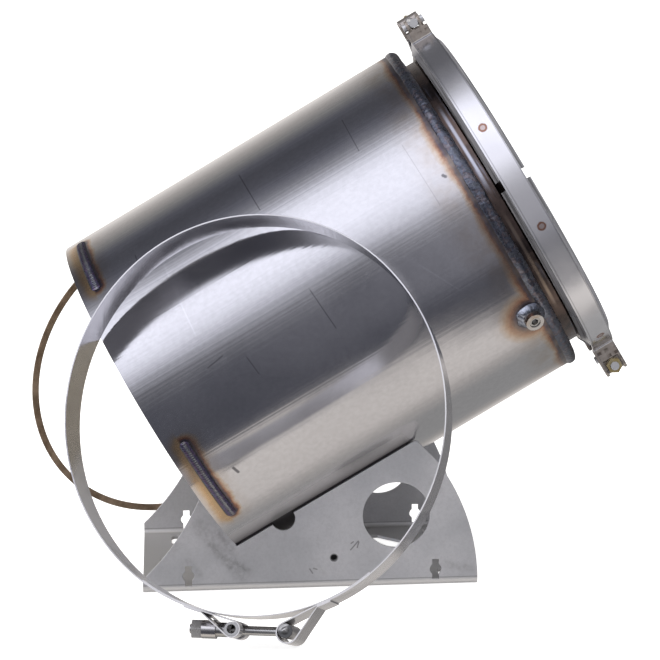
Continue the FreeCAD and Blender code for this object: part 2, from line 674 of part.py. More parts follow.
def make_cradle():
    """One folded sheet: a floor and two upright plates with the sloping seat."""
    body = new_body("cradle_bracket")
    profile = sketch_on(body, "YZ_Plane", "cradle_section", "cradle_left")
    half = "cradle_depth / 2"
    inner = half + " - cradle_sheet"
    outer_bend = "(bend_radius + cradle_sheet)"
    top = "seat_top_z + 5"
    outline(profile, [
        ("0 - (" + half + ")", top),
        ("0 - (" + half + ")", outer_bend),
        ("0 - (" + half + " - " + outer_bend + ")", "0", "0 - (" + half + " - " + outer_bend + ")", outer_bend, 1),
        (half + " - " + outer_bend, "0"),
        (half, outer_bend, half + " - " + outer_bend, outer_bend, 1),
        (half, top),
        (inner, top),
        (inner, outer_bend),
        (inner + " - bend_radius", "cradle_sheet", inner + " - bend_radius", outer_bend, -1),
        ("0 - (" + inner + " - bend_radius)", "cradle_sheet"),
        ("0 - (" + inner + ")", outer_bend, "0 - (" + inner + " - bend_radius)", outer_bend, -1),
        ("0 - (" + inner + ")", top)])
    pad(body, profile, "cradle_length")

    trim = sketch_on(body, "XZ_Plane", "plate_outline")
    outline(trim, box_corners("cradle_left - 10", "0 - 10", "cradle_right + 10", "seat_top_z + 20"))

    def along(distance):
        return ("corner_x + (%s) * slope_x" % distance, "corner_z + (%s) * slope_z" % distance)

    upper = along("seat_length - top_cut")
    scoop = along("scoop_along")
    scoop_high = along("scoop_along + scoop_radius")
    scoop_low = along("scoop_along - scoop_radius")
    outline(trim, [
        ("cradle_left - 1", "0 - 1"),
        ("cradle_right + 1", "0 - 1"),
        ("cradle_right + 1", "bulge_foot"),
        ("cradle_right", "bulge_foot"),
        ("drop_foot_x", "drop_foot_z", "bulge_x", "bulge_z", 1),
        ("seat_top_x + top_cut * drop_x", "seat_top_z - top_cut * drop_z"),
        upper + (upper[0] + " + seat_round * slope_z", upper[1] + " - seat_round * slope_x", 1),
        scoop_high,
        scoop_low + scoop + (-1,),
        ("corner_x", "corner_z"),
        ("stop_top_x", "stop_top_z"),
        ("stop_left_x", "stop_left_z"),
        ("cradle_left", "hollow_foot", "hollow_x", "hollow_z", -1),
        ("cradle_left - 1", "hollow_foot")])
    pocket(body, trim, "cradle_depth + 20", both=True)

    holes = sketch_on(body, "XZ_Plane", "plate_holes")
    ring(holes, "window_x", "window_z", "window_radius")
    ring(holes, "key_middle - key_half_pitch", "key_z", "key_radius")
    ring(holes, "key_middle + key_half_pitch", "key_z", "key_radius")
    pocket(body, holes, "cradle_depth + 20", both=True)
    pilot = sketch_on(body, "XZ_Plane", "pilot_hole")
    ring(pilot, "pilot_x", "pilot_z", "pilot_radius")
    pocket(body, pilot, "cradle_depth / 2 + 10", back=True)
    slots = sketch_on(body, "XZ_Plane", "plate_slots")
    for sign in ("-", "+"):
        middle = "key_middle %s key_half_pitch" % sign
        outline(slots, box_corners(
            middle + " - key_width / 2", "key_z - key_height / 2",
            middle + " + key_width / 2", "key_z + key_height / 2"))
    pocket(body, slots, "cradle_depth + 20", both=True)

    floor = sketch_on(body, "XY_Plane", "floor_openings")
    left = "floor_window_x - floor_window_length / 2"
    right = "floor_window_x + floor_window_length / 2"
    side = "floor_window_depth / 2"
    cutoff = "floor_window_chamfer"
    outline(floor, [
        (left + " + " + cutoff, "0 - " + side),
        (right + " - " + cutoff, "0 - " + side),
        (right, "0 - (" + side + " - " + cutoff + ")"),
        (right, side + " - " + cutoff),
        (right + " - " + cutoff, side),
        (left + " + " + cutoff, side),
        (left, side + " - " + cutoff),
        (left, "0 - (" + side + " - " + cutoff + ")")])
    reach = "(floor_hole_length / 2 - floor_hole_radius)"
    for x in ("key_middle - floor_hole_x", "key_middle + floor_hole_x"):
        for y in ("0 - floor_hole_y", "floor_hole_y"):
            outline(floor, [
                (x + " + floor_hole_radius", y + " - " + reach, x, y + " - " + reach, 1),
                (x + " + floor_hole_radius", y + " + " + reach),
                (x + " - floor_hole_radius", y + " + " + reach, x, y + " + " + reach, 1),
                (x + " - floor_hole_radius", y + " - " + reach)])
    for x in ("key_middle - tag_hole_x", "key_middle + tag_hole_x"):
        ring(floor, x, "0", "tag_hole_radius")
    pocket(body, floor, "cradle_sheet + 5", back=True)
    return body


# Loose strap

def on_strap(*more):
    """Frame of the loose strap: X sideways, Y up in its plane, Z along its width to the front."""
    frame = place(("strap_x", "strap_y", "strap_z"), ("Z", "strap_turn_angle"), ("X", "90 - strap_lean_angle"))
    return " * ".join((frame,) + more)


def oval_low(x, radius):
    """Height of the strap's lower arc of this radius at a place x."""
    return "0 - (oval_shift + sqrt((%s)^2 - (%s)^2))" % (radius, x)


def touch(eye_x, eye_y, radius, x, y, side):
    """Where the line from (x, y) touches a circle, seen to the left (1) or right (-1)."""
    dx = "((%s) - (%s))" % (x, eye_x)
    dy = "((%s) - (%s))" % (y, eye_y)
    square = "(%s^2 + %s^2)" % (dx, dy)
    along = "((%s)^2 / %s)" % (radius, square)
    across = "((%s) * sqrt(%s - (%s)^2) / %s)" % (radius, square, radius, square)
    sign = "+" if side > 0 else "-"
    other = "-" if side > 0 else "+"
    return (
        "%s + %s * %s %s %s * %s" % (eye_x, along, dx, sign, across, dy),
        "%s + %s * %s %s %s * %s" % (eye_y, along, dy, other, across, dx))


def oval_run(extra, clockwise):
    """Five arcs of the oval from its lower left round to its lower right, or back."""
    tight = "(oval_tight + %s)" % extra
    wide = "(oval_wide + %s)" % extra
    leg = tight + " / sqrt(2)"
    low = "0 - oval_shift - " + leg
    high = "oval_shift + " + leg
    if clockwise:
        return [
            ("0 - " + leg, low, "0", "0 - oval_shift", -1),
            ("0 - " + leg, high, "oval_shift", "0", -1),
            (leg, high, "0", "oval_shift", -1),
            (leg, low, "0 - oval_shift", "0", -1)]
    return [
        (leg, low, "0", "0 - oval_shift", 1),
        (leg, high, "0 - oval_shift", "0", 1),
        ("0 - " + leg, high, "0", "oval_shift", 1),
        ("0 - " + leg, low, "oval_shift", "0", 1)]


def make_strap():
    """Oval strap. Each end leaves the oval, goes round a bar and lies back on the outside."""
    body = new_body("mounting_strap", on_strap())
    sketch = sketch_on(body, "XY_Plane", "strap_section")
    inside = "oval_tight"
    outside = "(oval_tight + strap_sheet)"
    tail = "(oval_tight + 2 * strap_sheet)"
    left = "strap_split_left"
    right = "strap_split_right"
    eyes = {
        "left": ("0 - strap_barrel_x", "0 - strap_bolt_line", "strap_barrel_eye"),
        "right": ("strap_tee_x + strap_tee_slack", "0 - strap_bolt_line - strap_tee_slack", "strap_tee_eye")}

    def meet(which, extra, layer, side):
        x, y, radius = eyes[which]
        from_x = "0 - " + left if which == "left" else right
        return touch(x, y, "(%s + %s)" % (radius, extra), from_x, oval_low(from_x, layer), side)

    left_up = meet("left", "strap_sheet", inside, 1)
    left_down = meet("left", "strap_sheet", tail, -1)
    right_down = meet("right", "strap_sheet", tail, 1)
    right_up = meet("right", "strap_sheet", inside, -1)
    centre = ("0", "0 - oval_shift")
    outline(sketch, [
        ("0 - " + left, oval_low(left, inside)) + centre + (1,),
        left_up,
        left_down + eyes["left"][:2] + (-1,),
        ("0 - " + left, oval_low(left, tail)),
        ("0 - strap_tail_left", oval_low("strap_tail_left", tail)) + centre + (-1,),
        ("0 - strap_tail_left", oval_low("strap_tail_left", outside))]
        + oval_run("strap_sheet", True) + [
        ("strap_tail_right", oval_low("strap_tail_right", outside)) + centre + (-1,),
        ("strap_tail_right", oval_low("strap_tail_right", tail)),
        (right, oval_low(right, tail)) + centre + (-1,),
        right_down,
        right_up + eyes["right"][:2] + (-1,),
        (right, oval_low(right, inside))]
        + oval_run("0", False))
    for which, split, sign in (("left", left, "0 - "), ("right", right, "")):
        up, down = (1, -1) if which == "left" else (-1, 1)
        corner = (sign + split, oval_low(split, outside))
        upper = meet(which, "0", outside, up)
        lower = meet(which, "0", outside, down)
        way = -1 if which == "left" else 1
        outline(sketch, [corner, upper, lower + eyes[which][:2] + (way,)])
    pad(body, sketch, "strap_width", back=True)

    middle = "0 - strap_width / 2"
    for name, slot, reach, ahead in (
            ("nut", "strap_nut_slot", "strap_tail_left", False),
            ("tee", "strap_tee_slot", "strap_tee_x", True)):
        window = sketch_on(body, "YZ_Plane", "strap_window_" + name)
        outline(window, box_corners(
            "0 - strap_bolt_line - %s / 2" % slot, middle + " - %s / 2" % slot,
            "0 - strap_bolt_line + %s / 2" % slot, middle + " + %s / 2" % slot))
        pocket(body, window, reach, back=ahead)
    return body


def make_liner():
    """Strip inside the strap that bridges the opening between its loops."""
    body = new_body("strap_liner", on_strap())
    sketch = sketch_on(body, "XY_Plane", "liner_section")
    inner = "(oval_tight - liner_sheet)"
    centre = ("0", "0 - oval_shift")
    outline(sketch, [
        ("0 - liner_left", oval_low("liner_left", "oval_tight")),
        ("liner_right", oval_low("liner_right", "oval_tight")) + centre + (1,),
        ("liner_right", oval_low("liner_right", inner)),
        ("0 - liner_left", oval_low("liner_left", inner)) + centre + (-1,)])
    pad(body, sketch, "strap_width", back=True)
    return body


def make_strap_hardware():
    """Bolt with its T bar, tube trunnion, sleeve, washer stack and nut, all on one line."""
    depth = "0 - strap_width / 2"
    line = "0 - strap_bolt_line"
    tube_left = "0 - strap_barrel_x - strap_barrel_radius"

    def on_bolt(x):
        return on_strap(place((x, line, depth), ("Y", "-90")))

    length = "strap_tee_x + strap_barrel_x + strap_barrel_radius + sleeve_length" \
             " + collar_length + lock_nut_height + strap_bolt_end"
    shank = cylinder("strap_shank", "strap_bolt_radius", length, on_bolt("strap_tee_x"))
    bar = cylinder("strap_bar", "strap_tee_radius", "strap_width", on_strap(
        place(("strap_tee_x", line, "0 - strap_width"))))
    bolt = fuse("strap_t_bolt", [shank, bar])
    tube = new_body("strap_trunnion", on_strap())
    end = sketch_on(tube, "XY_Plane", "tube_end")
    ring(end, "0 - strap_barrel_x", line, "strap_barrel_radius")
    ring(end, "0 - strap_barrel_x", line, "strap_tube_bore")
    pad(tube, end, "strap_width", back=True)
    bore = sketch_on(tube, "YZ_Plane", "tube_cross_bore")
    ring(bore, line, depth, "strap_barrel_bore")
    pocket(tube, bore, "strap_barrel_x + strap_barrel_radius + 2")
    pieces = [bolt, tube]
    start = tube_left
    for name, radius, reach in (
            ("strap_sleeve", "sleeve_radius", "sleeve_length"),
            ("strap_collar", "collar_radius", "collar_length")):
        pieces.append(turned(
            name, box_corners("strap_bolt_radius", "0", radius, reach), on_bolt(start)))
        start = start + " - " + reach
    nut = new_body("strap_nut", on_bolt(start))
    face = sketch_on(nut, "XY_Plane", "strap_nut_face")
    hexagon(face, "0", "0", "lock_nut_flats")
    ring(face, "0", "0", "strap_bolt_radius")
    pad(nut, face, "lock_nut_height")
    return pieces + [nut]


# Loose gasket

def make_gasket():
    body = new_body("gasket_ring", place(
        ("gasket_x", "gasket_y", "gasket_z"), ("Z", "gasket_turn_angle"), ("X", "90 + gasket_lean_angle")))
    face = sketch_on(body, "XY_Plane", "gasket_face_ring")
    ring(face, "0", "0", "gasket_radius")
    ring(face, "0", "0", "gasket_radius - gasket_face")
    pad(body, face, "gasket_thick", both=True)
    return body


def settle(alias, pieces, against, way):
    """Slide loose pieces along Y until they lie seat_gap from what they lean on."""
    cell = "B%d" % (NAMES.index(alias) + 1)
    reach = value(alias)
    for step in range(14):
        shift = reach - value(alias)
        moved = [piece.Shape.copy() for piece in pieces]
        for shape in moved:
            shape.translate(Vector(0, shift, 0))
        room = min(shape.distToShape(other.Shape)[0] for shape in moved for other in against)
        spare = room - value("seat_gap")
        if abs(spare) < 0.02:
            break
        reach += way * spare
    sheet.set(cell, str(round(reach, 3)))
    doc.recompute()


fill_sheet()
shell = make_shell()
beads = make_stop_beads()
nodes = [shell] + make_filling() + make_flange_end() + beads + make_port()
nodes += make_retainers()
nodes.append(make_half_band("v_band_front", "clamp_turn_angle", "bottom_bolt_line", "top_bolt_line", False))
nodes.append(make_half_band("v_band_rear", "clamp_turn_angle + 180", "top_bolt_line", "bottom_bolt_line", True))
nodes += make_clamp_hardware("bottom", "clamp_turn_angle", "bottom_bolt_line")
nodes += make_clamp_hardware("top", "clamp_turn_angle + 180", "top_bolt_line")
nodes.append(make_cradle())
strap = make_strap()
nodes += [strap, make_liner()] + make_strap_hardware()
gasket = make_gasket()
nodes.append(gasket)
for item in nodes:
    if item.isDerivedFrom("PartDesign::Body"):
        item.Tip = item.Group[-1]
doc.recompute()
settle("strap_y", [strap], [shell] + beads[:2], 1)
settle("gasket_y", [gasket], [shell] + beads[2:], -1)

for item in doc.Objects:
    if "Invalid" in item.State or "Error" in item.State:
        raise ValueError("%s did not recompute: %s" % (item.Label, item.State))
os.makedirs("parts", exist_ok=True)
for item in nodes:
    shape = item.Shape
    if shape.isNull() or not shape.isValid() or len(shape.Solids) != 1:
        raise ValueError("%s is not one sound solid" % item.Label)
    shape.exportStep(os.path.join("parts", item.Label + ".step"))
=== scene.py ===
import math

import bmesh
import bpy
from mathutils import Matrix, Vector, noise


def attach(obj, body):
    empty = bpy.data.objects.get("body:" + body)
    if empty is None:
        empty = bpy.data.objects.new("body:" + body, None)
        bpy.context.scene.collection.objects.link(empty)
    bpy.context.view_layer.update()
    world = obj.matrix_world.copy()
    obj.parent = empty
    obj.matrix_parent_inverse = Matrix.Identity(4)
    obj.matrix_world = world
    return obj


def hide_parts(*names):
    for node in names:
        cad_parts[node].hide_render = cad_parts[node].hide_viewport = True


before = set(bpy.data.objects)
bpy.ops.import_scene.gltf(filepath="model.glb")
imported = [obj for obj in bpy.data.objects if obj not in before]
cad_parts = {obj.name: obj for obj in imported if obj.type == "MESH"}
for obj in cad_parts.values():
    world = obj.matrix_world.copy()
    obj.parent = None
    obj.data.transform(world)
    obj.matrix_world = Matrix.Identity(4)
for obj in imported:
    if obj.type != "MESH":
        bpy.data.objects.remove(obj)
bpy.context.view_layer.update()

scene = bpy.context.scene
scene.view_settings.view_transform = "Standard"

# Canister frame: s runs up the axis from the open end, turn goes in degrees from underneath
# towards the far side, and radius is measured from the axis
TILT = math.radians(30)
AXIS_START = Vector((-0.13272, 0.0, 0.15893))
AXIS = Vector((math.cos(TILT), 0.0, math.sin(TILT)))
UNDER = Vector((math.sin(TILT), 0.0, -math.cos(TILT)))
AWAY = Vector((0.0, 1.0, 0.0))
SHELL_RADIUS = 0.165
SHELL_DEGREE = math.radians(1) * SHELL_RADIUS

# Welds and the port boss on the shell
GIRTH_EDGE = 0.3420
BOSS_PLACE = 0.334
BOSS_TURN = 298.5
BOSS_RADIUS = 0.0083
BOSS_WELD_RADIUS = 0.0125
BEAD_PLACE = 0.016
BEAD_TURN = 290.5
BEAD_PITCH = 90.0
BEAD_HALF_SPAN = 16.4
LOW_BEAD_HALF_SPAN = 12.0
BEAD_HALF_WIDTH = 0.0047

# Half bands: middle of the strip, its outside, its fold, its spot welds
BAND_PLACE = 0.3806
BAND_OUTSIDE = 0.1677
BAND_FOLD = 0.1686
SPOT_TURNS = (238.8, 273.4, 326.5)

# Cradle and strap, in the model's frame
PLATE_MIDDLE = 0.0975
PILOT = (0.0227, -PLATE_MIDDLE, 0.029)
STRAP_MIDDLE = (-0.050, 0.208)
BAR_END = (-0.0322, -0.3085, 0.0286)
BAR_RADIUS = 0.0045


def on_canister(s, turn, radius):
    """Point of the model's frame from canister coordinates."""
    angle = math.radians(turn)
    return AXIS_START + AXIS * s + (UNDER * math.cos(angle) + AWAY * math.sin(angle)) * radius


# Camera

PICTURE_WIDTH = 660.0
FOCAL_LENGTH = 2550.3
SENSOR_WIDTH = 36.0
CAMERA_PLACE = (-0.11810, -2.33420, 0.67668)
CAMERA_RIGHT = Vector((0.997841, -0.064629, -0.011708))
CAMERA_UP = Vector((0.023830, 0.190135, 0.981469))
CAMERA_AHEAD = Vector((0.061205, 0.979628, -0.191264))


def make_camera():
    """Camera at the fitted view; its focal length is known in pixels of the picture."""
    camera = bpy.data.cameras.new("camera")
    camera.sensor_width = SENSOR_WIDTH
    camera.lens = SENSOR_WIDTH * FOCAL_LENGTH / PICTURE_WIDTH
    camera.clip_end = 60.0
    holder = bpy.data.objects.new("camera", camera)
    scene.collection.objects.link(holder)
    turn = Matrix((CAMERA_RIGHT, CAMERA_UP, -CAMERA_AHEAD)).transposed()
    holder.matrix_world = Matrix.Translation(CAMERA_PLACE) @ turn.to_4x4()
    scene.camera = holder


# Node helpers

class Tree:
    """Short calls for building a node tree; what is given may be a number, a tone or an output."""

    def __init__(self, tree):
        self.tree = tree
        self.tree.nodes.clear()

    def wire(self, source, target):
        """Sets or links one input."""
        if isinstance(source, (int, float)):
            target.default_value = source
        elif isinstance(source, tuple):
            opaque = len(source) == 3 and len(target.default_value) == 4
            target.default_value = source + (1.0,) if opaque else source
        else:
            self.tree.links.new(source, target)

    def made(self, kind, inputs, output=0, **settings):
        """One output of a new node, with its inputs wired."""
        node = self.tree.nodes.new(kind)
        for key, setting in settings.items():
            setattr(node, key, setting)
        for key, source in inputs.items():
            self.wire(source, node.inputs[key])
        return node.outputs[output]

    def calc(self, operation, first, second=0.0, clamp=False):
        return self.made("ShaderNodeMath", {0: first, 1: second}, operation=operation, use_clamp=clamp)

    def plus(self, first, second, clamp=False):
        return self.calc("ADD", first, second, clamp)

    def minus(self, first, second):
        return self.calc("SUBTRACT", first, second)

    def over(self, first, second):
        return self.calc("DIVIDE", first, second)

    def times(self, first, *others):
        for other in others:
            first = self.calc("MULTIPLY", first, other)
        return first

    def most(self, first, *others):
        """The largest of several values."""
        for other in others:
            first = self.calc("MAXIMUM", first, other)
        return first

    def size(self, given):
        return self.calc("ABSOLUTE", given)

    def off(self, given, centre):
        """Distance of a value from a centre."""
        return self.size(self.minus(given, centre))

    def beyond(self, given, half):
        """Distance outside a half width."""
        return self.most(self.minus(self.size(given), half), 0.0)

    def distance(self, x, y):
        return self.calc("SQRT", self.plus(self.times(x, x), self.times(y, y)))

    def dot(self, vector, way):
        return self.made(
            "ShaderNodeVectorMath", {0: vector, 1: tuple(way)}, "Value", operation="DOT_PRODUCT")

    def split(self, vector):
        node = self.tree.nodes.new("ShaderNodeSeparateXYZ")
        self.wire(vector, node.inputs[0])
        return tuple(node.outputs)

    def join(self, x, y, z):
        return self.made("ShaderNodeCombineXYZ", {0: x, 1: y, 2: z})

    def grey(self, level):
        return self.join(level, level, level)

    def noise(self, vector, scale, detail=3.0, rough=0.5, distort=0.0):
        return self.made("ShaderNodeTexNoise", {
            "Vector": vector, "Scale": scale, "Detail": detail, "Roughness": rough,
            "Distortion": distort}, "Fac")

    def step(self, given, low, high, start=0.0, end=1.0):
        """Smooth change from start to end while the given value goes from low to high."""
        return self.made("ShaderNodeMapRange", {
            "Value": given, "From Min": low, "From Max": high, "To Min": start,
            "To Max": end}, interpolation_type="SMOOTHSTEP")

    def fade(self, given, low, high, level=1.0):
        """Level up to low, then smoothly down to nought at high."""
        return self.step(given, low, high, level, 0.0)

    def mix(self, factor, first, second, mode="MIX"):
        return self.made(
            "ShaderNodeMix", {0: factor, 6: first, 7: second}, 2, data_type="RGBA", blend_type=mode)

    def cloudy(self, cloud, low, high):
        """From low to high, tones or values, over the middle range of a noise."""
        if isinstance(low, tuple):
            return self.mix(self.step(cloud, 0.3, 0.7), low, high)
        return self.step(cloud, 0.3, 0.7, low, high)

    def ramp(self, given, stops):
        node = self.tree.nodes.new("ShaderNodeValToRGB")
        points = node.color_ramp.elements
        while len(points) < len(stops):
            points.new(0.5)
        for point, (position, tone) in zip(points, sorted(stops)):
            point.position = position
            point.color = tuple(tone) + (1.0,)
        self.wire(given, node.inputs[0])
        return node.outputs[0]

    def ray(self, kind):
        """One where the ray is of this kind, nought elsewhere."""
        return self.made("ShaderNodeLightPath", {}, "Is %s Ray" % kind)


class Surface(Tree):
    """The node tree of a new material."""

    def __init__(self, name):
        self.material = bpy.data.materials.new(name)
        self.material.use_nodes = True
        super().__init__(self.material.node_tree)
        self.out = self.tree.nodes.new("ShaderNodeOutputMaterial")

    def place(self):
        """Point of the model's frame, in metres."""
        return self.made("ShaderNodeTexCoord", {}, "Object")

    def canister_point(self):
        """Point in the canister's own frame: towards its underside, towards the far side, and s."""
        start = self.made(
            "ShaderNodeVectorMath", {0: self.place(), 1: tuple(AXIS_START)}, operation="SUBTRACT")
        local = self.made(
            "ShaderNodeVectorRotate", {"Vector": start, "Angle": TILT - math.pi / 2},
            rotation_type="Y_AXIS")
        return self.split(local)

    def canister(self):
        """Canister coordinates s, turn and radius."""
        x, y, s = self.canister_point()
        angle = self.times(self.calc("ARCTAN2", y, x), 180 / math.pi)
        turn = self.calc("MODULO", self.plus(angle, 720), 360)
        return s, turn, self.distance(x, y)

    def arc(self, turn, centre, repeat=360.0):
        """Signed distance in metres round the shell from a centre that repeats."""
        shifted = self.plus(self.minus(turn, centre), 720 + repeat / 2)
        folded = self.minus(self.calc("MODULO", shifted, repeat), repeat / 2)
        return self.times(folded, SHELL_DEGREE)

    def stroke(self, x, y, start, end, half, soft):
        """One on a straight stroke between two points of the (x, y) plane, fading out beside it."""
        run = (end[0] - start[0], end[1] - start[1])
        length = math.hypot(*run)
        way = (run[0] / length, run[1] / length)
        off_x = self.minus(x, (start[0] + end[0]) / 2)
        off_y = self.minus(y, (start[1] + end[1]) / 2)
        along = self.plus(self.times(off_x, way[0]), self.times(off_y, way[1]))
        across = self.minus(self.times(off_x, way[1]), self.times(off_y, way[0]))
        return self.fade(self.distance(self.beyond(along, length / 2), across), half, half + soft)

    def bump(self, height, distance, strength=1.0, under=None):
        inputs = {"Height": height, "Distance": distance, "Strength": strength}
        if under is not None:
            inputs["Normal"] = under
        return self.made("ShaderNodeBump", inputs)

    def edge(self, radius):
        """Normal softened over a small edge radius."""
        return self.made("ShaderNodeBevel", {"Radius": radius}, samples=4)

    def finish(self, tone, metallic, roughness, normal):
        shader = self.made("ShaderNodeBsdfPrincipled", {
            "Base Color": tone, "Metallic": metallic, "Roughness": roughness, "Normal": normal})
        self.wire(shader, self.out.inputs["Surface"])
        return self.material


# Canister shell

STEEL = (0.60, 0.59, 0.60)
STRAW = (0.66, 0.46, 0.25)
SMOKE = (0.44, 0.36, 0.29)
DARK_SCRATCH = (0.06, 0.06, 0.07)
PALE_SCRATCH = (0.95, 0.95, 0.98)
# Painted shade under the canister between the cradle's plates, and beside the plates for their reflection
PAINTED_SHADE = (0.035, 0.035, 0.04)
PAINTED_SHADE_EDGE = (0.16, 0.15, 0.15)

# Reach of the heat tint from each kind of weld
GIRTH_REACH = 0.0092
BEAD_REACH = 0.0070
BOSS_REACH = 0.019

# Heat tint from the weld outwards, over its reach
HEAT = [
    (0.00, (0.05, 0.05, 0.07)),
    (0.12, (0.07, 0.06, 0.10)),
    (0.24, (0.15, 0.08, 0.07)),
    (0.38, (0.34, 0.17, 0.11)),
    (0.54, (0.50, 0.34, 0.24)),
    (0.74, (0.58, 0.50, 0.43)),
    (1.00, STEEL)]

# Fine marks: start and end as (s, turn), half width, strength, tone
SHELL_MARKS = [
    ((0.1753, 203.9), (0.1770, 223.0), 0.00022, 0.45, DARK_SCRATCH),
    ((0.2795, 207.2), (0.2783, 223.1), 0.00020, 0.40, DARK_SCRATCH),
    ((0.1801, 254.3), (0.1825, 268.2), 0.00025, 0.35, DARK_SCRATCH),
    ((0.0600, 212.0), (0.0590, 222.0), 0.00020, 0.35, DARK_SCRATCH),
    ((0.3132, 229.4), (0.3145, 252.3), 0.00018, 0.16, DARK_SCRATCH),
    ((0.0691, 258.7), (0.0849, 257.8), 0.00028, 0.32, DARK_SCRATCH),
    ((0.0410, 290.4), (0.0425, 292.6), 0.00055, 0.80, DARK_SCRATCH),
    ((0.3298, 245.0), (0.3312, 245.7), 0.00060, 0.75, DARK_SCRATCH),
    ((0.1030, 262.0), (0.1045, 268.0), 0.00025, 0.30, DARK_SCRATCH),
    ((0.2731, 264.8), (0.2932, 278.8), 0.00025, 0.12, PALE_SCRATCH),
    ((0.0798, 220.9), (0.0742, 248.5), 0.00028, 0.12, PALE_SCRATCH)]


def shell_heat(t, s, turn, place):
    """Tone of the steel round the welds, and the coldness of each place from nought to one."""
    reach = t.step(t.noise(place, 26.0, 3.0), 0.30, 0.70, 0.75, 1.35)
    wobble = t.times(t.minus(t.noise(place, 240.0, 4.0, 0.65), 0.5), 0.005)
    bead_run = t.beyond(t.arc(turn, BEAD_TURN, BEAD_PITCH), BEAD_HALF_SPAN * SHELL_DEGREE - BEAD_HALF_WIDTH)
    girth_off = t.minus(GIRTH_EDGE, s)
    bead_off = t.minus(t.distance(t.minus(s, BEAD_PLACE), bead_run), BEAD_HALF_WIDTH)
    boss_off = t.minus(t.distance(t.minus(s, BOSS_PLACE), t.arc(turn, BOSS_TURN)), BOSS_WELD_RADIUS)
    girth_cold = t.over(t.plus(girth_off, wobble), t.times(reach, GIRTH_REACH))
    bead_cold = t.over(t.plus(bead_off, wobble), t.times(reach, BEAD_REACH))
    boss_cold = t.over(t.plus(boss_off, wobble), BOSS_REACH)
    cold = t.calc("MINIMUM", t.calc("MINIMUM", girth_cold, bead_cold), boss_cold, clamp=True)
    tint = t.ramp(cold, HEAT)

    # Straw between the stop beads and the open end
    near_end = t.times(t.fade(s, 0.012, 0.015), t.fade(bead_off, 0.002, 0.014, 0.8))
    tint = t.mix(near_end, tint, STRAW)

    # Smoky bloom further out
    bloom = t.most(
        t.fade(girth_off, 0.010, 0.045), t.fade(bead_off, 0.004, 0.020, 0.8),
        t.fade(boss_off, 0.006, 0.030))
    bloom = t.times(bloom, t.step(t.noise(place, 34.0, 4.0, 0.6), 0.35, 0.75, 0.10, 0.60))
    return t.mix(bloom, tint, SMOKE), cold


def shell_material():
    """Polished rolled sheet: heat tint, fine marks, and painted shade between and beside the cradle's
    plates.
    """
    t = Surface("shell_steel")
    s, turn, radius = t.canister()
    place = t.place()
    _, y, z = t.split(place)
    tint, cold = shell_heat(t, s, turn, place)
    streaks = t.noise(t.join(t.times(s, 1.5), t.times(turn, 0.35), radius), 60, 4.0, 0.6)
    spots = t.noise(place, 230.0, 2.0)
    shade = t.times(t.step(streaks, 0.25, 0.8, 0.95, 1.04), t.step(spots, 0.25, 0.75, 0.97, 1.03))
    tone = t.mix(1.0, tint, t.grey(shade), "MULTIPLY")

    arc = t.times(turn, SHELL_DEGREE)
    for start, end, half, strength, scratch in SHELL_MARKS:
        first = (start[0], start[1] * SHELL_DEGREE)
        last = (end[0], end[1] * SHELL_DEGREE)
        line = t.stroke(s, arc, first, last, half, half * 2.5)
        tone = t.mix(t.times(line, strength), tone, scratch)

    # Painted shade under the canister between the plates, painted shade for the plates' dark reflection
    # close to them, and a strip of duller polish beside the plates
    side = t.minus(t.size(y), PLATE_MIDDLE)
    cradled = t.times(t.fade(z, 0.24, 0.26), t.fade(s, 0.180, 0.188))
    between = t.times(t.fade(side, 0.0010, 0.0030), cradled)
    close = t.times(t.fade(side, 0.0010, 0.0185, 0.62), cradled)
    beside = t.times(t.fade(side, 0.0125, 0.0245, 0.20), cradled)
    tone = t.mix(between, tone, PAINTED_SHADE)
    tone = t.mix(close, tone, PAINTED_SHADE_EDGE)

    polish = t.step(t.noise(place, 7.0, 4.0, 0.55, 0.6), 0.35, 0.7, 0.12, 0.19)
    tinted = t.times(t.minus(1.0, cold), 0.20)
    roughness = t.plus(t.plus(t.plus(polish, tinted), beside), t.times(between, 0.75), clamp=True)
    dents = t.bump(t.noise(place, 9.0, 2.0), 0.0012, 0.30)
    rolled = t.noise(t.join(t.times(s, 0.6), turn, 0.0), 0.9, 2.0)
    grain = t.noise(t.join(t.times(s, 40.0), t.times(turn, 0.05), 0.0), 30, 3.0, 0.6)
    normal = t.bump(grain, 0.0002, 0.05, t.bump(rolled, 0.0003, 0.25, dents))
    return t.finish(tone, 1.0, roughness, normal)


# Half bands and their retainers

BAND_TONES = ((0.64, 0.63, 0.65), (0.75, 0.74, 0.76))
BROWNED = ((0.26, 0.22, 0.19), (0.50, 0.45, 0.41))
POCKET = (0.10, 0.075, 0.06)
# Painted shade for the top of the band
PAINTED_TOP_SHADE = (0.20, 0.20, 0.23)
PAINTED_FOLD_HIGHLIGHT = (0.90, 0.86, 0.80)
SPOT_BURN = (0.26, 0.13, 0.09)
BAND_RIM = (0.20, 0.20, 0.21)


def spot_burns(t, along, turn, place):
    """Browned rings with a paler middle where the retainers are spot welded on."""
    burns = []
    for centre in SPOT_TURNS:
        off = t.distance(along, t.arc(turn, centre, 180.0))
        off = t.plus(off, t.times(t.noise(place, 420, 2.0), 0.0010))
        ring = t.fade(t.off(off, 0.0036), 0.0004, 0.0015)
        burns.append(t.most(ring, t.fade(off, 0.0028, 0.0044, 0.55)))
    return t.most(*burns)


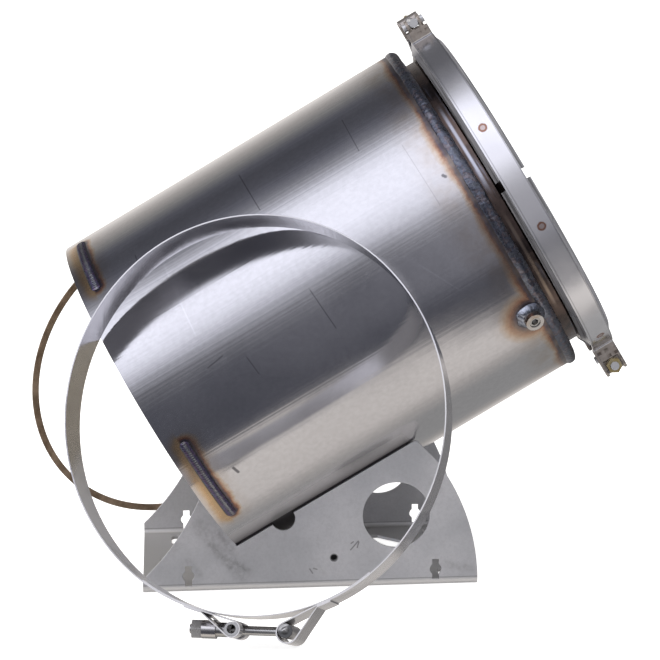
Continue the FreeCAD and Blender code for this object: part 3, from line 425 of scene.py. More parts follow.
def band_material():
    """Pressed strip: satin outside, browned at its folded ends and its spot welds."""
    t = Surface("band_steel")
    s, turn, radius = t.canister()
    place = t.place()
    along = t.minus(s, BAND_PLACE)
    outside = t.step(radius, BAND_OUTSIDE - 0.0005, BAND_OUTSIDE - 0.0002)
    folded = t.step(radius, BAND_FOLD - 0.0004, BAND_FOLD + 0.0004)
    cloud = t.noise(place, 25.0, 3.0)

    # Folded ends, with a few pressed pockets in rows and columns
    row = t.calc("FRACT", t.over(t.minus(radius, 0.1700), 0.0060))
    column = t.calc("FRACT", t.over(t.plus(along, 0.0112), 0.0074))
    pocket = t.fade(t.most(t.off(row, 0.5), t.off(column, 0.5)), 0.20, 0.32)
    pocket = t.times(pocket, folded, t.step(t.noise(place, 90.0, 2.0), 0.40, 0.60))
    tone = t.mix(folded, t.cloudy(cloud, *BAND_TONES), t.mix(t.noise(place, 260.0, 3.0), *BROWNED))
    tone = t.mix(t.times(pocket, 0.80), tone, POCKET)

    # Painted shade on the top, painted highlight along the fold, burnt spots and dark rims of the strip
    top = t.times(t.fade(t.off(turn, 187.0), 16.0, 36.0, 0.70), outside, t.fade(folded, 0.0, 0.5))
    tone = t.mix(top, tone, PAINTED_TOP_SHADE)
    # Painted highlight along the outer fold
    tone = t.mix(t.fade(t.off(radius, BAND_FOLD), 0.0003, 0.0006, 0.7), tone, PAINTED_FOLD_HIGHLIGHT)
    tone = t.mix(t.times(spot_burns(t, along, turn, place), outside), tone, SPOT_BURN)
    rim = t.fade(t.off(t.size(along), 0.0092), 0.0003, 0.0007, 0.45)
    tone = t.mix(t.times(rim, outside), tone, BAND_RIM)

    fine = t.noise(t.join(t.times(s, 30.0), t.times(turn, 0.03), radius), 40, 3.0, 0.6)
    pressed = t.bump(t.minus(1.0, pocket), 0.0005, 0.4, t.edge(0.0005))
    metal = t.step(folded, 0.0, 1.0, 0.84, 0.55)
    return t.finish(tone, metal, t.cloudy(cloud, 0.14, 0.22), t.bump(fine, 0.0002, 0.08, pressed))


def retainer_material():
    """Rolled V section: satin flanks with fine lines along the hoop and painted shade at the root."""
    t = Surface("retainer_steel")
    _, turn, radius = t.canister()
    cloud = t.noise(t.place(), 40.0, 3.0)
    lines = t.noise(t.join(t.times(radius, 420.0), t.times(turn, 0.02), 0.0), 1.0, 3.0, 0.6)
    tone = t.cloudy(cloud, (0.36, 0.36, 0.39), (0.47, 0.46, 0.49))
    tone = t.mix(t.fade(lines, 0.44, 0.50, 0.8), tone, (0.13, 0.13, 0.14))
    # Painted shade at the root of the V, next to the neck
    tone = t.mix(t.times(t.step(radius, 0.1640, 0.1652), 0.8), tone, (0.08, 0.08, 0.09))
    normal = t.bump(lines, 0.0003, 0.15, t.edge(0.0005))
    return t.finish(tone, 0.30, t.cloudy(cloud, 0.26, 0.36), normal)


# Welds and flange

WELD_CRUST = [
    (0.28, (0.08, 0.08, 0.09)), (0.42, (0.18, 0.19, 0.22)), (0.50, (0.13, 0.14, 0.18)),
    (0.58, (0.18, 0.15, 0.16)), (0.66, (0.23, 0.23, 0.26)), (0.80, (0.10, 0.09, 0.10))]
WELD_FLECK = (0.34, 0.34, 0.38)
BRIGHT_WELD = (0.50, 0.53, 0.60)
BLUE_FILM = (0.05, 0.07, 0.22)
PURPLE_FILM = (0.22, 0.10, 0.20)
BEAD_RIDGE = (0.36, 0.35, 0.37)
WELD_HOLLOW = (0.035, 0.03, 0.03)
RIPPLE_PITCH = 0.0021


def weld_material():
    """Weld metal: slate grey crests, blue and purple films, darker hollows."""
    t = Surface("weld_metal")
    s, turn, _ = t.canister()
    place = t.place()
    cloud = t.noise(place, 150.0, 4.0, 0.6)
    fleck = t.noise(place, 620.0, 3.0, 0.6)
    tone = t.mix(t.step(fleck, 0.62, 0.74, 0.0, 0.5), t.ramp(cloud, WELD_CRUST), WELD_FLECK)

    # Bare bright metal on the near side of the boss
    boss_off = t.distance(t.minus(s, BOSS_PLACE), t.arc(turn, BOSS_TURN))
    bright = t.times(
        t.fade(boss_off, 0.0150, 0.0165), t.step(cloud, 0.38, 0.55, 0.2, 0.85),
        t.step(s, BOSS_PLACE - 0.004, BOSS_PLACE + 0.006, 1.0, 0.2))
    tone = t.mix(bright, tone, BRIGHT_WELD)

    # Coloured films and a rippled ridge along the stop beads
    across = t.off(s, BEAD_PLACE + 0.0004)
    ripples = t.times(turn, SHELL_DEGREE / RIPPLE_PITCH)
    crescent = t.calc("FRACT", t.minus(ripples, t.times(across, 260.0)))
    ridge = t.times(t.fade(across, 0.0004, 0.0019), t.step(crescent, 0.15, 0.75, 0.30, 0.85))
    film = t.times(t.step(across, 0.0012, 0.0022), t.fade(across, 0.0030, 0.0042), 0.55)
    tone = t.mix(film, tone, t.mix(cloud, BLUE_FILM, PURPLE_FILM))
    tone = t.mix(ridge, tone, BEAD_RIDGE)

    # Darker where the surface is hollow
    pointed = t.made("ShaderNodeNewGeometry", {}, "Pointiness")
    tone = t.mix(t.fade(pointed, 0.40, 0.50, 0.75), tone, WELD_HOLLOW)
    normal = t.bump(t.noise(place, 420.0, 3.0), 0.0005, 0.45)
    return t.finish(tone, 1.0, t.cloudy(fleck, 0.24, 0.42), normal)


def flange_material():
    """Neck browned by the welding and darkened with painted shade in its groove, with films streaking round
    it, painted highlight streaks, and a clean flange.
    """
    t = Surface("flange_steel")
    s, turn, _ = t.canister()
    cloud = t.noise(t.place(), 45.0, 4.0, 0.6)
    film = t.noise(t.join(t.times(s, 260.0), t.times(turn, 0.05), 0.0), 1.0, 4.0, 0.6)
    # Dark brown neck: heat tint from the welding, darkened further with painted shade in the groove
    tone = t.cloudy(cloud, (0.06, 0.048, 0.045), (0.18, 0.13, 0.11))
    tone = t.mix(t.step(film, 0.55, 0.70, 0.0, 0.5), tone, (0.30, 0.31, 0.37))
    # Painted highlights: a blue-white streak on the upper part of the neck and a brown one lower down
    streak = t.fade(t.off(s, 0.3585), 0.0005, 0.0022)
    painted_blue_highlight = t.times(streak, t.fade(t.size(t.arc(turn, 238.0)), 0.028, 0.060), 0.65)
    painted_brown_highlight = t.times(streak, t.fade(t.size(t.arc(turn, 286.0)), 0.035, 0.070), 0.65)
    tone = t.mix(painted_blue_highlight, tone, (0.62, 0.64, 0.72))
    tone = t.mix(painted_brown_highlight, tone, (0.42, 0.33, 0.26))
    tone = t.mix(t.step(s, 0.363, 0.370), tone, (0.34, 0.33, 0.33))
    normal = t.bump(cloud, 0.0006, 0.3, t.edge(0.0005))
    return t.finish(tone, 1.0, t.cloudy(cloud, 0.20, 0.36), normal)


# Cradle

SHEET_TONES = ((0.57, 0.57, 0.59), (0.68, 0.67, 0.69))
SHEET_FLECK = (0.42, 0.41, 0.42)
SHEET_SHADE = (0.20, 0.19, 0.19)
SHEET_SMUDGE = (0.30, 0.28, 0.27)
PAINTED_SHEET_FOLD_HIGHLIGHT = (0.80, 0.79, 0.78)
SCUFF = (0.10, 0.09, 0.09)
PILOT_RIM = (0.10, 0.10, 0.10)

# Scuffs and stamped ticks on the front plate: start and end as (x, z), half width, softness,
# strength
PLATE_SCUFFS = [
    ((-0.0980, 0.0620), (-0.0600, 0.0150), 0.0010, 0.0130, 0.30),
    ((-0.0820, 0.0560), (-0.0700, 0.0400), 0.0006, 0.0040, 0.30),
    ((-0.0720, 0.0300), (-0.0560, 0.0200), 0.0004, 0.0030, 0.38),
    ((-0.0900, 0.0450), (-0.0720, 0.0230), 0.0004, 0.0035, 0.30),
    ((-0.1100, 0.0300), (-0.1000, 0.0180), 0.0005, 0.0050, 0.20),
    ((0.1240, 0.0200), (0.1480, 0.0150), 0.0006, 0.0050, 0.28),
    ((0.0380, 0.0360), (0.0450, 0.0440), 0.0003, 0.0006, 0.60),
    ((0.0440, 0.0380), (0.0455, 0.0430), 0.0003, 0.0006, 0.60),
    ((0.0385, 0.0420), (0.0405, 0.0435), 0.0003, 0.0006, 0.55),
    ((0.0005, 0.0190), (0.0030, 0.0150), 0.0003, 0.0006, 0.55),
    ((0.0040, 0.0195), (0.0070, 0.0185), 0.0003, 0.0006, 0.50)]
SMEARED = 0.002


def cradle_material():
    """Mill finish sheet: fine cloudy grain, painted shade on the faces between the plates, a painted
    highlight along the bottom fold, scuffs on the front plate.
    """
    t = Surface("cradle_steel")
    place = t.place()
    x, y, z = t.split(place)
    front = t.fade(y, -PLATE_MIDDLE, -PLATE_MIDDLE + 0.0010)
    inside = t.fade(t.size(y), PLATE_MIDDLE - 0.0040, PLATE_MIDDLE - 0.0025)
    cloud = t.noise(place, 14.0, 4.0, 0.6)
    fleck = t.noise(place, 420.0, 3.0, 0.6)
    tone = t.cloudy(cloud, *SHEET_TONES)
    tone = t.mix(t.step(fleck, 0.35, 0.75, 0.0, 0.22), tone, SHEET_FLECK)
    # Painted shade on the faces between the plates and on the floor sheet inside
    tone = t.mix(t.times(inside, 0.6), tone, SHEET_SHADE)
    ring = t.distance(t.minus(x, PILOT[0]), t.minus(z, PILOT[2]))
    tone = t.mix(t.times(t.fade(ring, 0.0034, 0.0042, 0.75), front), tone, PILOT_RIM)
    smudge = t.step(t.noise(place, 30.0, 5.0, 0.7, 0.5), 0.58, 0.78, 0.0, 0.30)
    tone = t.mix(smudge, tone, SHEET_SMUDGE)

    patchy = t.step(t.noise(place, 240.0, 4.0, 0.7), 0.25, 0.75, 0.15, 1.0)
    for start, end, half, soft, strength in PLATE_SCUFFS:
        scuff = t.stroke(x, z, start, end, half, soft)
        if soft > SMEARED:
            scuff = t.times(scuff, patchy)
        tone = t.mix(t.times(scuff, front, strength), tone, SCUFF)

    # Painted highlight along the bottom fold, and a thin painted shade line just above it
    tone = t.mix(t.fade(z, 0.0066, 0.0074, 0.45), tone, PAINTED_SHEET_FOLD_HIGHLIGHT)
    tone = t.mix(t.fade(t.off(z, 0.0076), 0.0002, 0.0007, 0.5), tone, SHEET_SHADE)
    normal = t.bump(t.noise(place, 1300.0, 2.0, 0.6), 0.0002, 0.22, t.edge(0.0007))
    return t.finish(tone, 0.55, t.cloudy(cloud, 0.36, 0.48), normal)


# Strap and gasket

STRAP_TONES = ((0.56, 0.55, 0.57), (0.68, 0.67, 0.69))
DULL_STRAP = (0.34, 0.33, 0.35)
DARK_LOOP = (0.16, 0.16, 0.17)
DARK_PATCH = (0.10, 0.10, 0.11)
OUTER_DULLNESS = (0.28, 0.28, 0.28)


def strap_material():
    """Bright strip: rolled streaks along it, dull grey where it has been rubbed."""
    t = Surface("strap_steel")
    place = t.place()
    x, y, z = t.split(place)
    off_x = t.minus(x, STRAP_MIDDLE[0])
    off_z = t.minus(z, STRAP_MIDDLE[1])
    around = t.times(t.calc("ARCTAN2", off_z, off_x), 180 / math.pi)
    normal_x, _, normal_z = t.split(t.made("ShaderNodeNewGeometry", {}, "Normal"))
    outer = t.step(t.plus(t.times(normal_x, off_x), t.times(normal_z, off_z)), -0.02, 0.02)
    cloud = t.noise(place, 16.0, 3.0)
    streaks = t.noise(t.join(t.times(around, 0.02), t.times(y, 60.0), 0.0), 12.0, 3.0, 0.6)
    tone = t.cloudy(cloud, *STRAP_TONES)

    # Outer face: dull below, darker at the wide loop and on one rubbed patch
    dull = t.times(outer, t.fade(around, 2.0, 10.0), t.step(streaks, 0.42, 0.58, 0.50, 0.95))
    tone = t.mix(dull, tone, DULL_STRAP)
    loop = t.times(t.fade(z, 0.050, 0.064, 0.85), t.step(x, -0.045, -0.040))
    tone = t.mix(t.times(loop, outer, t.step(streaks, 0.40, 0.56, 0.6, 1.0)), tone, DARK_LOOP)
    fleck = t.step(t.noise(place, 260.0, 3.0, 0.6), 0.35, 0.6, 0.4, 0.9)
    tone = t.mix(t.times(t.fade(t.off(around, -38.0), 4.0, 5.5), outer, fleck), tone, DARK_PATCH)

    # Inner face: less like a mirror over its lower part
    inner_dullness = t.fade(t.off(around, -71.0), 84.0, 92.0, 0.60)
    metal = t.minus(1.0, t.mix(outer, t.grey(inner_dullness), OUTER_DULLNESS))
    normal = t.bump(streaks, 0.0001, 0.03, t.edge(0.0004))
    return t.finish(tone, metal, t.cloudy(cloud, 0.12, 0.18), normal)


def gasket_material():
    """Brown pressed fibre, blotched, with a fine pile."""
    t = Surface("gasket_fibre")
    place = t.place()
    cloud = t.noise(place, 60.0, 5.0, 0.6)
    tone = t.cloudy(cloud, (0.13, 0.085, 0.05), (0.29, 0.21, 0.15))
    return t.finish(tone, 0.25, 0.5, t.bump(t.noise(place, 900.0, 3.0), 0.0004, 0.4))


# Ceramic and its mat

CHANNEL_PITCH = 0.0021


def ceramic_material():
    """Square channels, every second one plugged, seen on both end faces."""
    t = Surface("ceramic")
    x, y, _ = t.canister_point()
    scaled = [t.over(t.plus(given, 1.0), CHANNEL_PITCH) for given in (x, y)]
    inside = [t.off(t.calc("FRACT", given), 0.5) for given in scaled]
    index = [t.calc("FLOOR", given) for given in scaled]
    channel = t.fade(t.most(*inside), 0.36, 0.41)
    shaded_open_channel = t.times(channel, t.calc("FLOORED_MODULO", t.plus(*index), 2.0))
    cloud = t.noise(t.place(), 30.0, 3.0)
    tone = t.cloudy(cloud, (0.52, 0.46, 0.37), (0.62, 0.57, 0.48))
    tone = t.mix(t.times(channel, 0.35), tone, (0.42, 0.37, 0.30))
    # Open channels painted near black, as shade down the holes
    tone = t.mix(shaded_open_channel, tone, (0.035, 0.03, 0.028))
    return t.finish(tone, 0.0, 0.85, t.bump(t.minus(1.0, channel), 0.0006, 0.6))


def fibre_material():
    """Pale matted fibre."""
    t = Surface("mat_fibre")
    fine = t.noise(t.place(), 700.0, 4.0, 0.7)
    tone = t.mix(fine, (0.55, 0.53, 0.48), (0.78, 0.76, 0.72))
    return t.finish(tone, 0.0, 0.95, t.bump(fine, 0.0006, 0.7))


# Fasteners

PAINTED_DOME_SHADING = [
    (0.0, (0.80, 0.79, 0.78)), (0.35, (0.55, 0.54, 0.53)), (0.70, (0.20, 0.20, 0.20)),
    (1.0, (0.10, 0.10, 0.10))]


def strap_bolt_material():
    """Turned bolt whose cross bar has a domed end, with painted light and shade across the dome."""
    t = Surface("strap_bolt_steel")
    place = t.place()
    x, y, z = t.split(place)
    cloud = t.noise(place, 60.0, 3.0)
    off = t.distance(t.minus(x, BAR_END[0]), t.minus(z, BAR_END[2]))
    end = t.fade(y, BAR_END[1] + 0.0030, BAR_END[1] + 0.0040)
    tone = t.cloudy(cloud, (0.44, 0.43, 0.42), (0.56, 0.55, 0.53))
    # Painted light and shade across the domed end: bright middle, dark rim
    tone = t.mix(end, tone, t.ramp(t.over(off, BAR_RADIUS), PAINTED_DOME_SHADING))
    dome = t.times(t.fade(off, 0.0, BAR_RADIUS), end)
    normal = t.bump(dome, 0.0030, 0.6, t.edge(0.0005))
    return t.finish(tone, 0.85, t.cloudy(cloud, 0.18, 0.28), normal)


def zinc_material():
    """Yellow zinc plate, blotched."""
    t = Surface("yellow_zinc")
    place = t.place()
    tone = t.ramp(t.noise(place, 120.0, 4.0), [
        (0.3, (0.36, 0.26, 0.10)), (0.5, (0.52, 0.42, 0.21)), (0.7, (0.44, 0.38, 0.27))])
    return t.finish(tone, 0.65, 0.24, t.bump(t.noise(place, 600.0), 0.0002, 0.2, t.edge(0.0004)))


def plain_steel(name, base, smooth, rough, metal=1.0, edge=0.0, stain=None):
    """Turned steel with a fine grain, a cloudy polish from smooth to rough, and softened edges."""
    t = Surface(name)
    place = t.place()
    cloud = t.noise(place, 22.0, 4.0, 0.6)
    tone = t.cloudy(cloud, tuple(part * 0.86 for part in base), base)
    if stain:
        blotch = t.step(t.noise(place, 38.0, 5.0, 0.65), 0.52, 0.72, 0.0, 0.7)
        tone = t.mix(blotch, tone, stain)
    grain = t.noise(place, 880.0, 3.0, 0.6)
    normal = t.bump(grain, 0.0002, 0.15, t.edge(edge) if edge else None)
    return t.finish(tone, metal, t.cloudy(cloud, smooth, rough), normal)


# Studio

WARM = (1.03, 0.98, 0.94)
COOL = (0.95, 0.97, 1.09)
NIGHT = (0.92, 0.95, 1.16)
PLAIN = (1.0, 1.0, 1.0)
WHITE = (1.0, 1.0, 1.0)
EVEN_LIGHT = (0.92, 0.92, 0.92)
DARK_WALL = (0.10, 0.10, 0.11)
DARK_CEILING = (0.12, 0.12, 0.13)
FLOOR_TONE = (0.80, 0.79, 0.77)
FLOOR_GLOW = 0.80
FLOOR_HALF = 14.0

# Panels round the canister's axis, seen only in reflections: degrees from above towards the
# front, level, tone
PANELS = [
    (-180, 0.55, WARM), (-169, 0.38, PLAIN), (-139, 0.36, PLAIN), (-129, 0.44, WARM),
    (-117, 0.74, WARM), (-104, 0.86, WARM), (-83, 0.90, WARM), (-71, 0.72, WARM),
    (-59, 0.47, WARM), (-47, 0.28, PLAIN), (-37, 0.13, NIGHT), (-27, 0.085, NIGHT),
    (-15, 0.11, NIGHT), (-7, 0.18, NIGHT), (2, 0.38, COOL), (9, 0.80, COOL), (16, 1.28, COOL),
    (25, 1.50, COOL), (42, 1.55, COOL), (54, 1.20, COOL), (63, 0.60, COOL), (71, 0.21, COOL),
    (84, 0.12, NIGHT), (108, 0.10, NIGHT), (122, 0.12, NIGHT), (129, 0.74, WARM),
    (137, 0.86, WARM), (150, 0.82, WARM), (172, 0.76, WARM), (180, 0.55, WARM)]


def panel_tones(t):
    """Tone of the panels in each direction: by angle round the axis, and by lean along it."""
    direction = t.made("ShaderNodeTexCoord", {}, "Generated")
    up = t.dot(direction, -UNDER)
    front = t.dot(direction, -AWAY)
    lean = t.dot(direction, AXIS)
    degrees = t.times(t.calc("ARCTAN2", front, up), 180 / math.pi)

    # Panel edges shift by some degrees with the lean
    low_jog = t.plus(t.step(lean, -0.041, -0.031, 0.0, 11.0), t.step(lean, -0.02, 0.055, 0.0, 20.0))
    low_jog = t.times(low_jog, t.step(degrees, 100.0, 110.0), t.fade(degrees, 158.0, 178.0))
    front_part = t.times(t.step(degrees, 30.0, 50.0), t.fade(degrees, 76.0, 90.0))
    jog = t.plus(low_jog, t.times(t.step(lean, 0.020, 0.045, 0.0, 8.0), front_part))
    around = t.over(t.plus(t.minus(degrees, jog), 180.0), 360.0)
    stops = [((angle + 180) / 360, tuple(level * part for part in tone)) for angle, level, tone in PANELS]
    panels = t.ramp(around, stops)

    # A little light in the dark front gap, darker ceiling and far walls
    lift = t.plus(t.step(lean, -0.022, 0.000), t.step(lean, 0.020, 0.045, 0.0, 0.8))
    lift = t.times(lift, t.step(degrees, 50.0, 62.0), t.fade(degrees, 98.0, 126.0, 0.16))
    panels = t.mix(1.0, panels, t.join(lift, lift, t.times(lift, 1.1)), "ADD")
    panels = t.mix(t.step(lean, 0.08, 0.35, 0.0, 0.6), panels, DARK_WALL)
    ceiling = t.times(t.step(lean, 0.012, 0.045), t.fade(degrees, -35.0, -20.0, 0.85))
    ceiling = t.times(ceiling, t.step(degrees, -150.0, -120.0))
    return t.mix(ceiling, panels, DARK_CEILING)


def make_world():
    """White backdrop, even soft light, and pale panels with dark gaps for polished metal."""
    world = bpy.data.worlds.new("studio")
    world.use_nodes = True
    scene.world = world
    t = Tree(world.node_tree)
    out = t.tree.nodes.new("ShaderNodeOutputWorld")
    light = t.mix(t.ray("Glossy"), EVEN_LIGHT, panel_tones(t))
    backdrop = t.mix(t.most(t.ray("Camera"), t.ray("Transmission")), light, WHITE)
    t.wire(t.made("ShaderNodeBackground", {"Color": backdrop}), out.inputs["Surface"])


def make_floor():
    """Pale floor that keeps the shadow and looks white to the camera."""
    corners = [(x * FLOOR_HALF, y * FLOOR_HALF, 0) for x, y in ((-1, -1), (1, -1), (1, 1), (-1, 1))]
    mesh = bpy.data.meshes.new("floor")
    mesh.from_pydata(corners, [], [(0, 1, 2, 3)])
    floor = bpy.data.objects.new("floor", mesh)
    scene.collection.objects.link(floor)
    t = Surface("pale_floor")
    diffuse = t.made("ShaderNodeBsdfDiffuse", {"Color": FLOOR_TONE})
    strength = t.times(t.ray("Camera"), FLOOR_GLOW)
    glow = t.made("ShaderNodeEmission", {"Color": WHITE, "Strength": strength})
    t.wire(t.made("ShaderNodeAddShader", {0: diffuse, 1: glow}), t.out.inputs["Surface"])
    mesh.materials.append(t.material)
    floor.visible_glossy = False


KEY_PLACE = Vector((-1.2, -1.4, 2.2))
KEY_AIM = Vector((0, 0, 0.2))
KEY_SIZE = 1.2
KEY_POWER = 26.0


def make_key_light():
    """One large soft lamp, up and in front to the left; it isn't seen in reflections."""
    lamp = bpy.data.lights.new("key", "AREA")
    lamp.shape = "DISK"
    lamp.size = KEY_SIZE
    lamp.energy = KEY_POWER
    holder = bpy.data.objects.new("key", lamp)
    scene.collection.objects.link(holder)
    holder.location = KEY_PLACE
    holder.rotation_euler = (KEY_AIM - KEY_PLACE).to_track_quat("-Z", "Y").to_euler()
    holder.visible_camera = False
    holder.visible_glossy = False


# Weld beads, and the nut behind the pilot hole

SUNK = 0.0001


def placed(name, points, faces, material, flat_from=None):
    """A closed piece from points and faces, smooth up to the face flat_from if that is given."""
    mesh = bpy.data.meshes.new(name)
    mesh.from_pydata(points, [], faces)
    if flat_from is not None:
        smooth = [number < flat_from for number in range(len(faces))]
        mesh.polygons.foreach_set("use_smooth", smooth)
    shape = bmesh.new()
    shape.from_mesh(mesh)
    bmesh.ops.remove_doubles(shape, verts=shape.verts, dist=1e-6)
    bmesh.ops.recalc_face_normals(shape, faces=shape.faces)
    shape.to_mesh(mesh)
    shape.free()
    mesh.materials.append(material)
    piece = bpy.data.objects.new(name, mesh)
    scene.collection.objects.link(piece)
    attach(piece, "root")
    return piece


def bead(node_name, rows, closed, material):
    """A smooth crown over rows of points, with a hidden underside, in place of a plain weld node."""
    count = len(rows[0])
    points = [tuple(point) for row in rows for point in row]
    crown = []
    underside = []
    for i in range(len(rows) if closed else len(rows) - 1):
        here = i * count
        after = ((i + 1) % len(rows)) * count
        for j in range(count - 1):
            crown.append((here + j, after + j, after + j + 1, here + j + 1))
        underside.append((after, here, here + count - 1, after + count - 1))
    piece = placed(node_name + "_detail", points, crown + underside, material, len(crown))
    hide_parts(node_name)


def spread(columns):
    """Places across a bead, from -1 to 1."""
    return [2 * j / columns - 1 for j in range(columns + 1)]


def lump(point, scale, seed):
    """Noise with its own place for each seed."""
    return noise.noise(point * scale + Vector((seed, seed * 0.7, -seed)))


def ripple(run, across, pitch):
    """Crescent ripples left by the puddle, nought to one."""
    phase = (run + 0.55 * across * across * pitch) / pitch
    part = phase - math.floor(phase)
    return math.sin(math.pi * part) ** 0.7


def stop_bead(node_name, turn, half_span, seed, material):
    """Short capsule-shaped bead lying round the shell."""
    steps = 230
    crown_height = 0.0022
    half_length = math.radians(half_span) * SHELL_RADIUS
    rows = []
    for i in range(steps + 1):
        run = half_length * (2 * i / steps - 1)
        here = turn + math.degrees(run / SHELL_RADIUS)
        over = max(0.0, abs(run) - (half_length - BEAD_HALF_WIDTH)) / BEAD_HALF_WIDTH
        round_off = math.sqrt(max(0.0, 1 - over * over))
        row = []
        for across in spread(18):
            base = on_canister(BEAD_PLACE + across * BEAD_HALF_WIDTH, here, 0)
            width = BEAD_HALF_WIDTH * round_off * (1 + 0.07 * lump(base, 260, seed))
            crown = math.sqrt(max(0.0, 1 - across * across))
            waves = 0.74 + 0.22 * ripple(run, across, 0.0023) + 0.12 * lump(base + AWAY * run, 520, seed)
            groove = 1 - 0.16 * math.exp(-(across / 0.16) ** 2)
            height = crown_height * crown * waves * groove * round_off ** 0.6 - SUNK
            row.append(on_canister(BEAD_PLACE + across * width, here, SHELL_RADIUS + height))
        rows.append(row)
    bead(node_name, rows, False, material)


def girth_bead(material):
    """Lumpy bead all round the corner between shell and shoulder plate."""
    steps = 900
    middle_s, middle_radius = 0.3475, 0.1610
    half_s, half_radius = 0.0062, 0.0052
    rows = []
    for i in range(steps):
        turn = 360.0 * i / steps
        run = math.radians(turn) * SHELL_RADIUS
        row = []
        for across in spread(16):
            angle = math.radians(63 - 78 * across)
            way_s, way_radius = math.cos(angle), math.sin(angle)
            base = on_canister(middle_s + half_s * way_s, turn, middle_radius + half_radius * way_radius)
            swell = 0.00045 * lump(base, 95, 3.0) + 0.00030 * lump(base, 330, 5.0)
            swell += 0.00022 * ripple(run, across, 0.0030)
            fade = math.sqrt(max(0.0, 1 - across ** 4))
            drift = 0.0005 * lump(base, 60, 9.0) * fade
            row.append(on_canister(
                middle_s + (half_s + swell * fade) * way_s + drift, turn,
                middle_radius + (half_radius + swell * fade) * way_radius))
        rows.append(row)
    bead("girth_weld", rows, True, material)


def boss_bead(material):
    """Bead round the port boss, climbing its side and running out on the shell."""
    steps = 180
    columns = 12
    climb = 0.0050
    turn = math.radians(BOSS_TURN)
    outward = UNDER * math.cos(turn) + AWAY * math.sin(turn)
    aside = AWAY * math.cos(turn) - UNDER * math.sin(turn)
    rows = []
    for i in range(steps):
        angle = 2 * math.pi * i / steps
        way = AXIS * math.cos(angle) + aside * math.sin(angle)
        wide = 0.0056 + 0.0011 * noise.noise(way * 2.2 + Vector((4.0, 1.0, 2.0)))
        lumpy = 1 + 0.16 * noise.noise(way * 3.0)
        row = []
        for j in range(columns + 1):
            part = j / columns
            reach = BOSS_RADIUS - 0.0002 + wide * part
            along = reach * math.cos(angle)
            side = reach * math.sin(angle)
            surface = math.sqrt(SHELL_RADIUS ** 2 - side ** 2)
            waves = 0.00035 * ripple(angle * 0.012, 2 * part - 1, 0.0034) * math.sin(math.pi * part)
            swell = climb * (1 - part ** 1.6) * lumpy + waves
            height = surface + swell - SUNK
            row.append(AXIS_START + AXIS * (BOSS_PLACE + along) + aside * side + outward * height)
        rows.append(row)
    bead("boss_weld", rows, True, material)


def blind_nut(material):
    """Blind hexagonal weld nut, 0.3 mm behind the front plate at the pilot hole; its near black tone is
    painted shade in the hole.
    """
    x, y, z = PILOT
    sheet_half = 0.0015
    gap = 0.0003
    face = y + sheet_half + gap
    floor = face + 0.0048
    back = face + 0.0054
    bore_radius = 0.0026
    corner_radius = 0.0052
    steps = 24
    half_side = math.pi / 6
    round_ring = [1.0] * steps
    hexagon = []
    for i in range(steps):
        off_flat = (2 * math.pi * i / steps + half_side) % (2 * half_side) - half_side
        hexagon.append(math.cos(half_side) / math.cos(off_flat))
    rings = [
        (bore_radius, floor, round_ring), (bore_radius, face, round_ring),
        (corner_radius, face, hexagon), (corner_radius, back, hexagon)]
    points = [(x, floor, z)]
    for radius, depth, outline in rings:
        for i in range(steps):
            angle = 2 * math.pi * i / steps
            reach = radius * outline[i]
            points.append((x + reach * math.cos(angle), depth, z + reach * math.sin(angle)))
    points.append((x, back, z))
    last_ring = 1 + steps * (len(rings) - 1)
    faces = []
    for i in range(steps):
        after = (i + 1) % steps
        faces.append((0, 1 + after, 1 + i))
        for start in range(1, last_ring, steps):
            faces.append((start + i, start + after, start + steps + after, start + steps + i))
        faces.append((last_ring + i, last_ring + after, len(points) - 1))
    piece = placed("pilot_nut", points, faces, material)


make_camera()
make_world()
make_floor()
make_key_light()

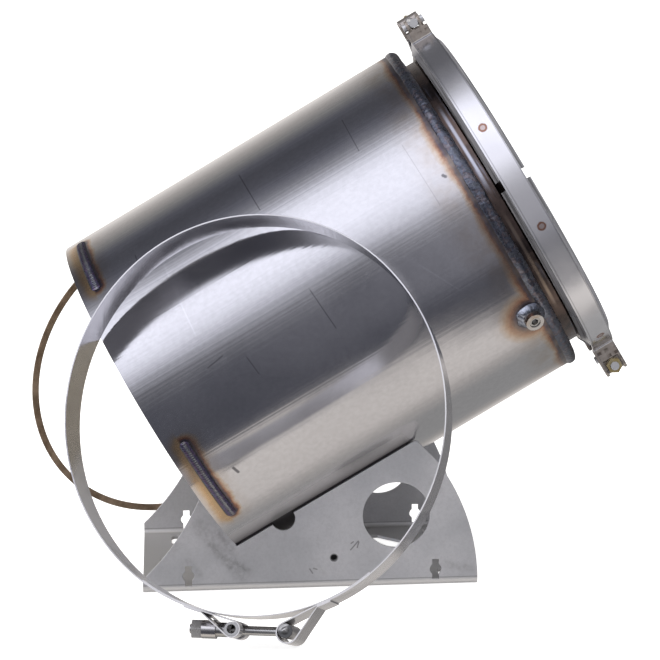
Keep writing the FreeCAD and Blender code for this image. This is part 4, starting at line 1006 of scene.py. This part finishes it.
MATERIALS = {
    "shell": shell_material(),
    "band": band_material(),
    "weld": weld_material(),
    "flange": flange_material(),
    "cradle": cradle_material(),
    "strap": strap_material(),
    "gasket": gasket_material(),
    "ceramic": ceramic_material(),
    "fibre": fibre_material(),
    "zinc": zinc_material(),
    "strap_bolt": strap_bolt_material(),
    "retainer": retainer_material(),
    "nut": plain_steel("nut_steel", (0.60, 0.59, 0.58), 0.22, 0.34, 0.75, 0.0008, (0.30, 0.28, 0.26)),
    "collar": plain_steel("collar_steel", (0.62, 0.60, 0.58), 0.14, 0.24, edge=0.0004),
    "bolt": plain_steel("bolt_steel", (0.50, 0.49, 0.47), 0.18, 0.30, edge=0.0004),
    "pale_bolt": plain_steel("pale_bolt_steel", (0.62, 0.62, 0.65), 0.20, 0.32, 0.45, 0.0006),
    "latch": plain_steel("latch_steel", (0.44, 0.40, 0.37), 0.20, 0.32, 0.8, 0.0005, (0.30, 0.24, 0.20)),
    # Near black tone for the pilot nut: painted shade in the pilot hole
    "dark_nut": plain_steel("dark_nut_steel", (0.07, 0.07, 0.07), 0.4, 0.5, 0.3),
    "boss": plain_steel("boss_steel", (0.58, 0.56, 0.54), 0.16, 0.26, 1.0, 0.0005, (0.34, 0.22, 0.12)),
}

# Beginning of a node's name, and what it wears
WEARS = {
    "outer_shell": "shell", "filter_substrate": "ceramic", "support_mat": "fibre",
    "open_end_retainer": "flange", "flange_": "flange", "v_flange": "flange",
    "girth_weld": "weld", "boss_weld": "weld", "stop_bead": "weld",
    "sensor_boss": "boss", "boss_plug": "bolt", "cradle_bracket": "cradle",
    "mounting_strap": "strap", "strap_liner": "strap", "strap_trunnion": "bolt",
    "strap_t_bolt": "strap_bolt", "strap_nut": "nut", "strap_collar": "collar",
    "strap_sleeve": "bolt", "gasket_ring": "gasket", "v_band": "band", "v_nut": "zinc",
    "v_t_bolt": "pale_bolt", "v_trunnion": "latch", "v_retainer": "retainer"}

for name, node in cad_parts.items():
    wear = next(WEARS[start] for start in WEARS if name.startswith(start))
    node.data.materials.clear()
    node.data.materials.append(MATERIALS[wear])

blind_nut(MATERIALS["dark_nut"])
girth_bead(MATERIALS["weld"])
boss_bead(MATERIALS["weld"])
for number, letter in enumerate("abcd"):
    half_span = LOW_BEAD_HALF_SPAN if letter == "b" else BEAD_HALF_SPAN
    turn = BEAD_TURN + BEAD_PITCH * number
    stop_bead("stop_bead_" + letter, turn, half_span, 11.0 + number, MATERIALS["weld"])
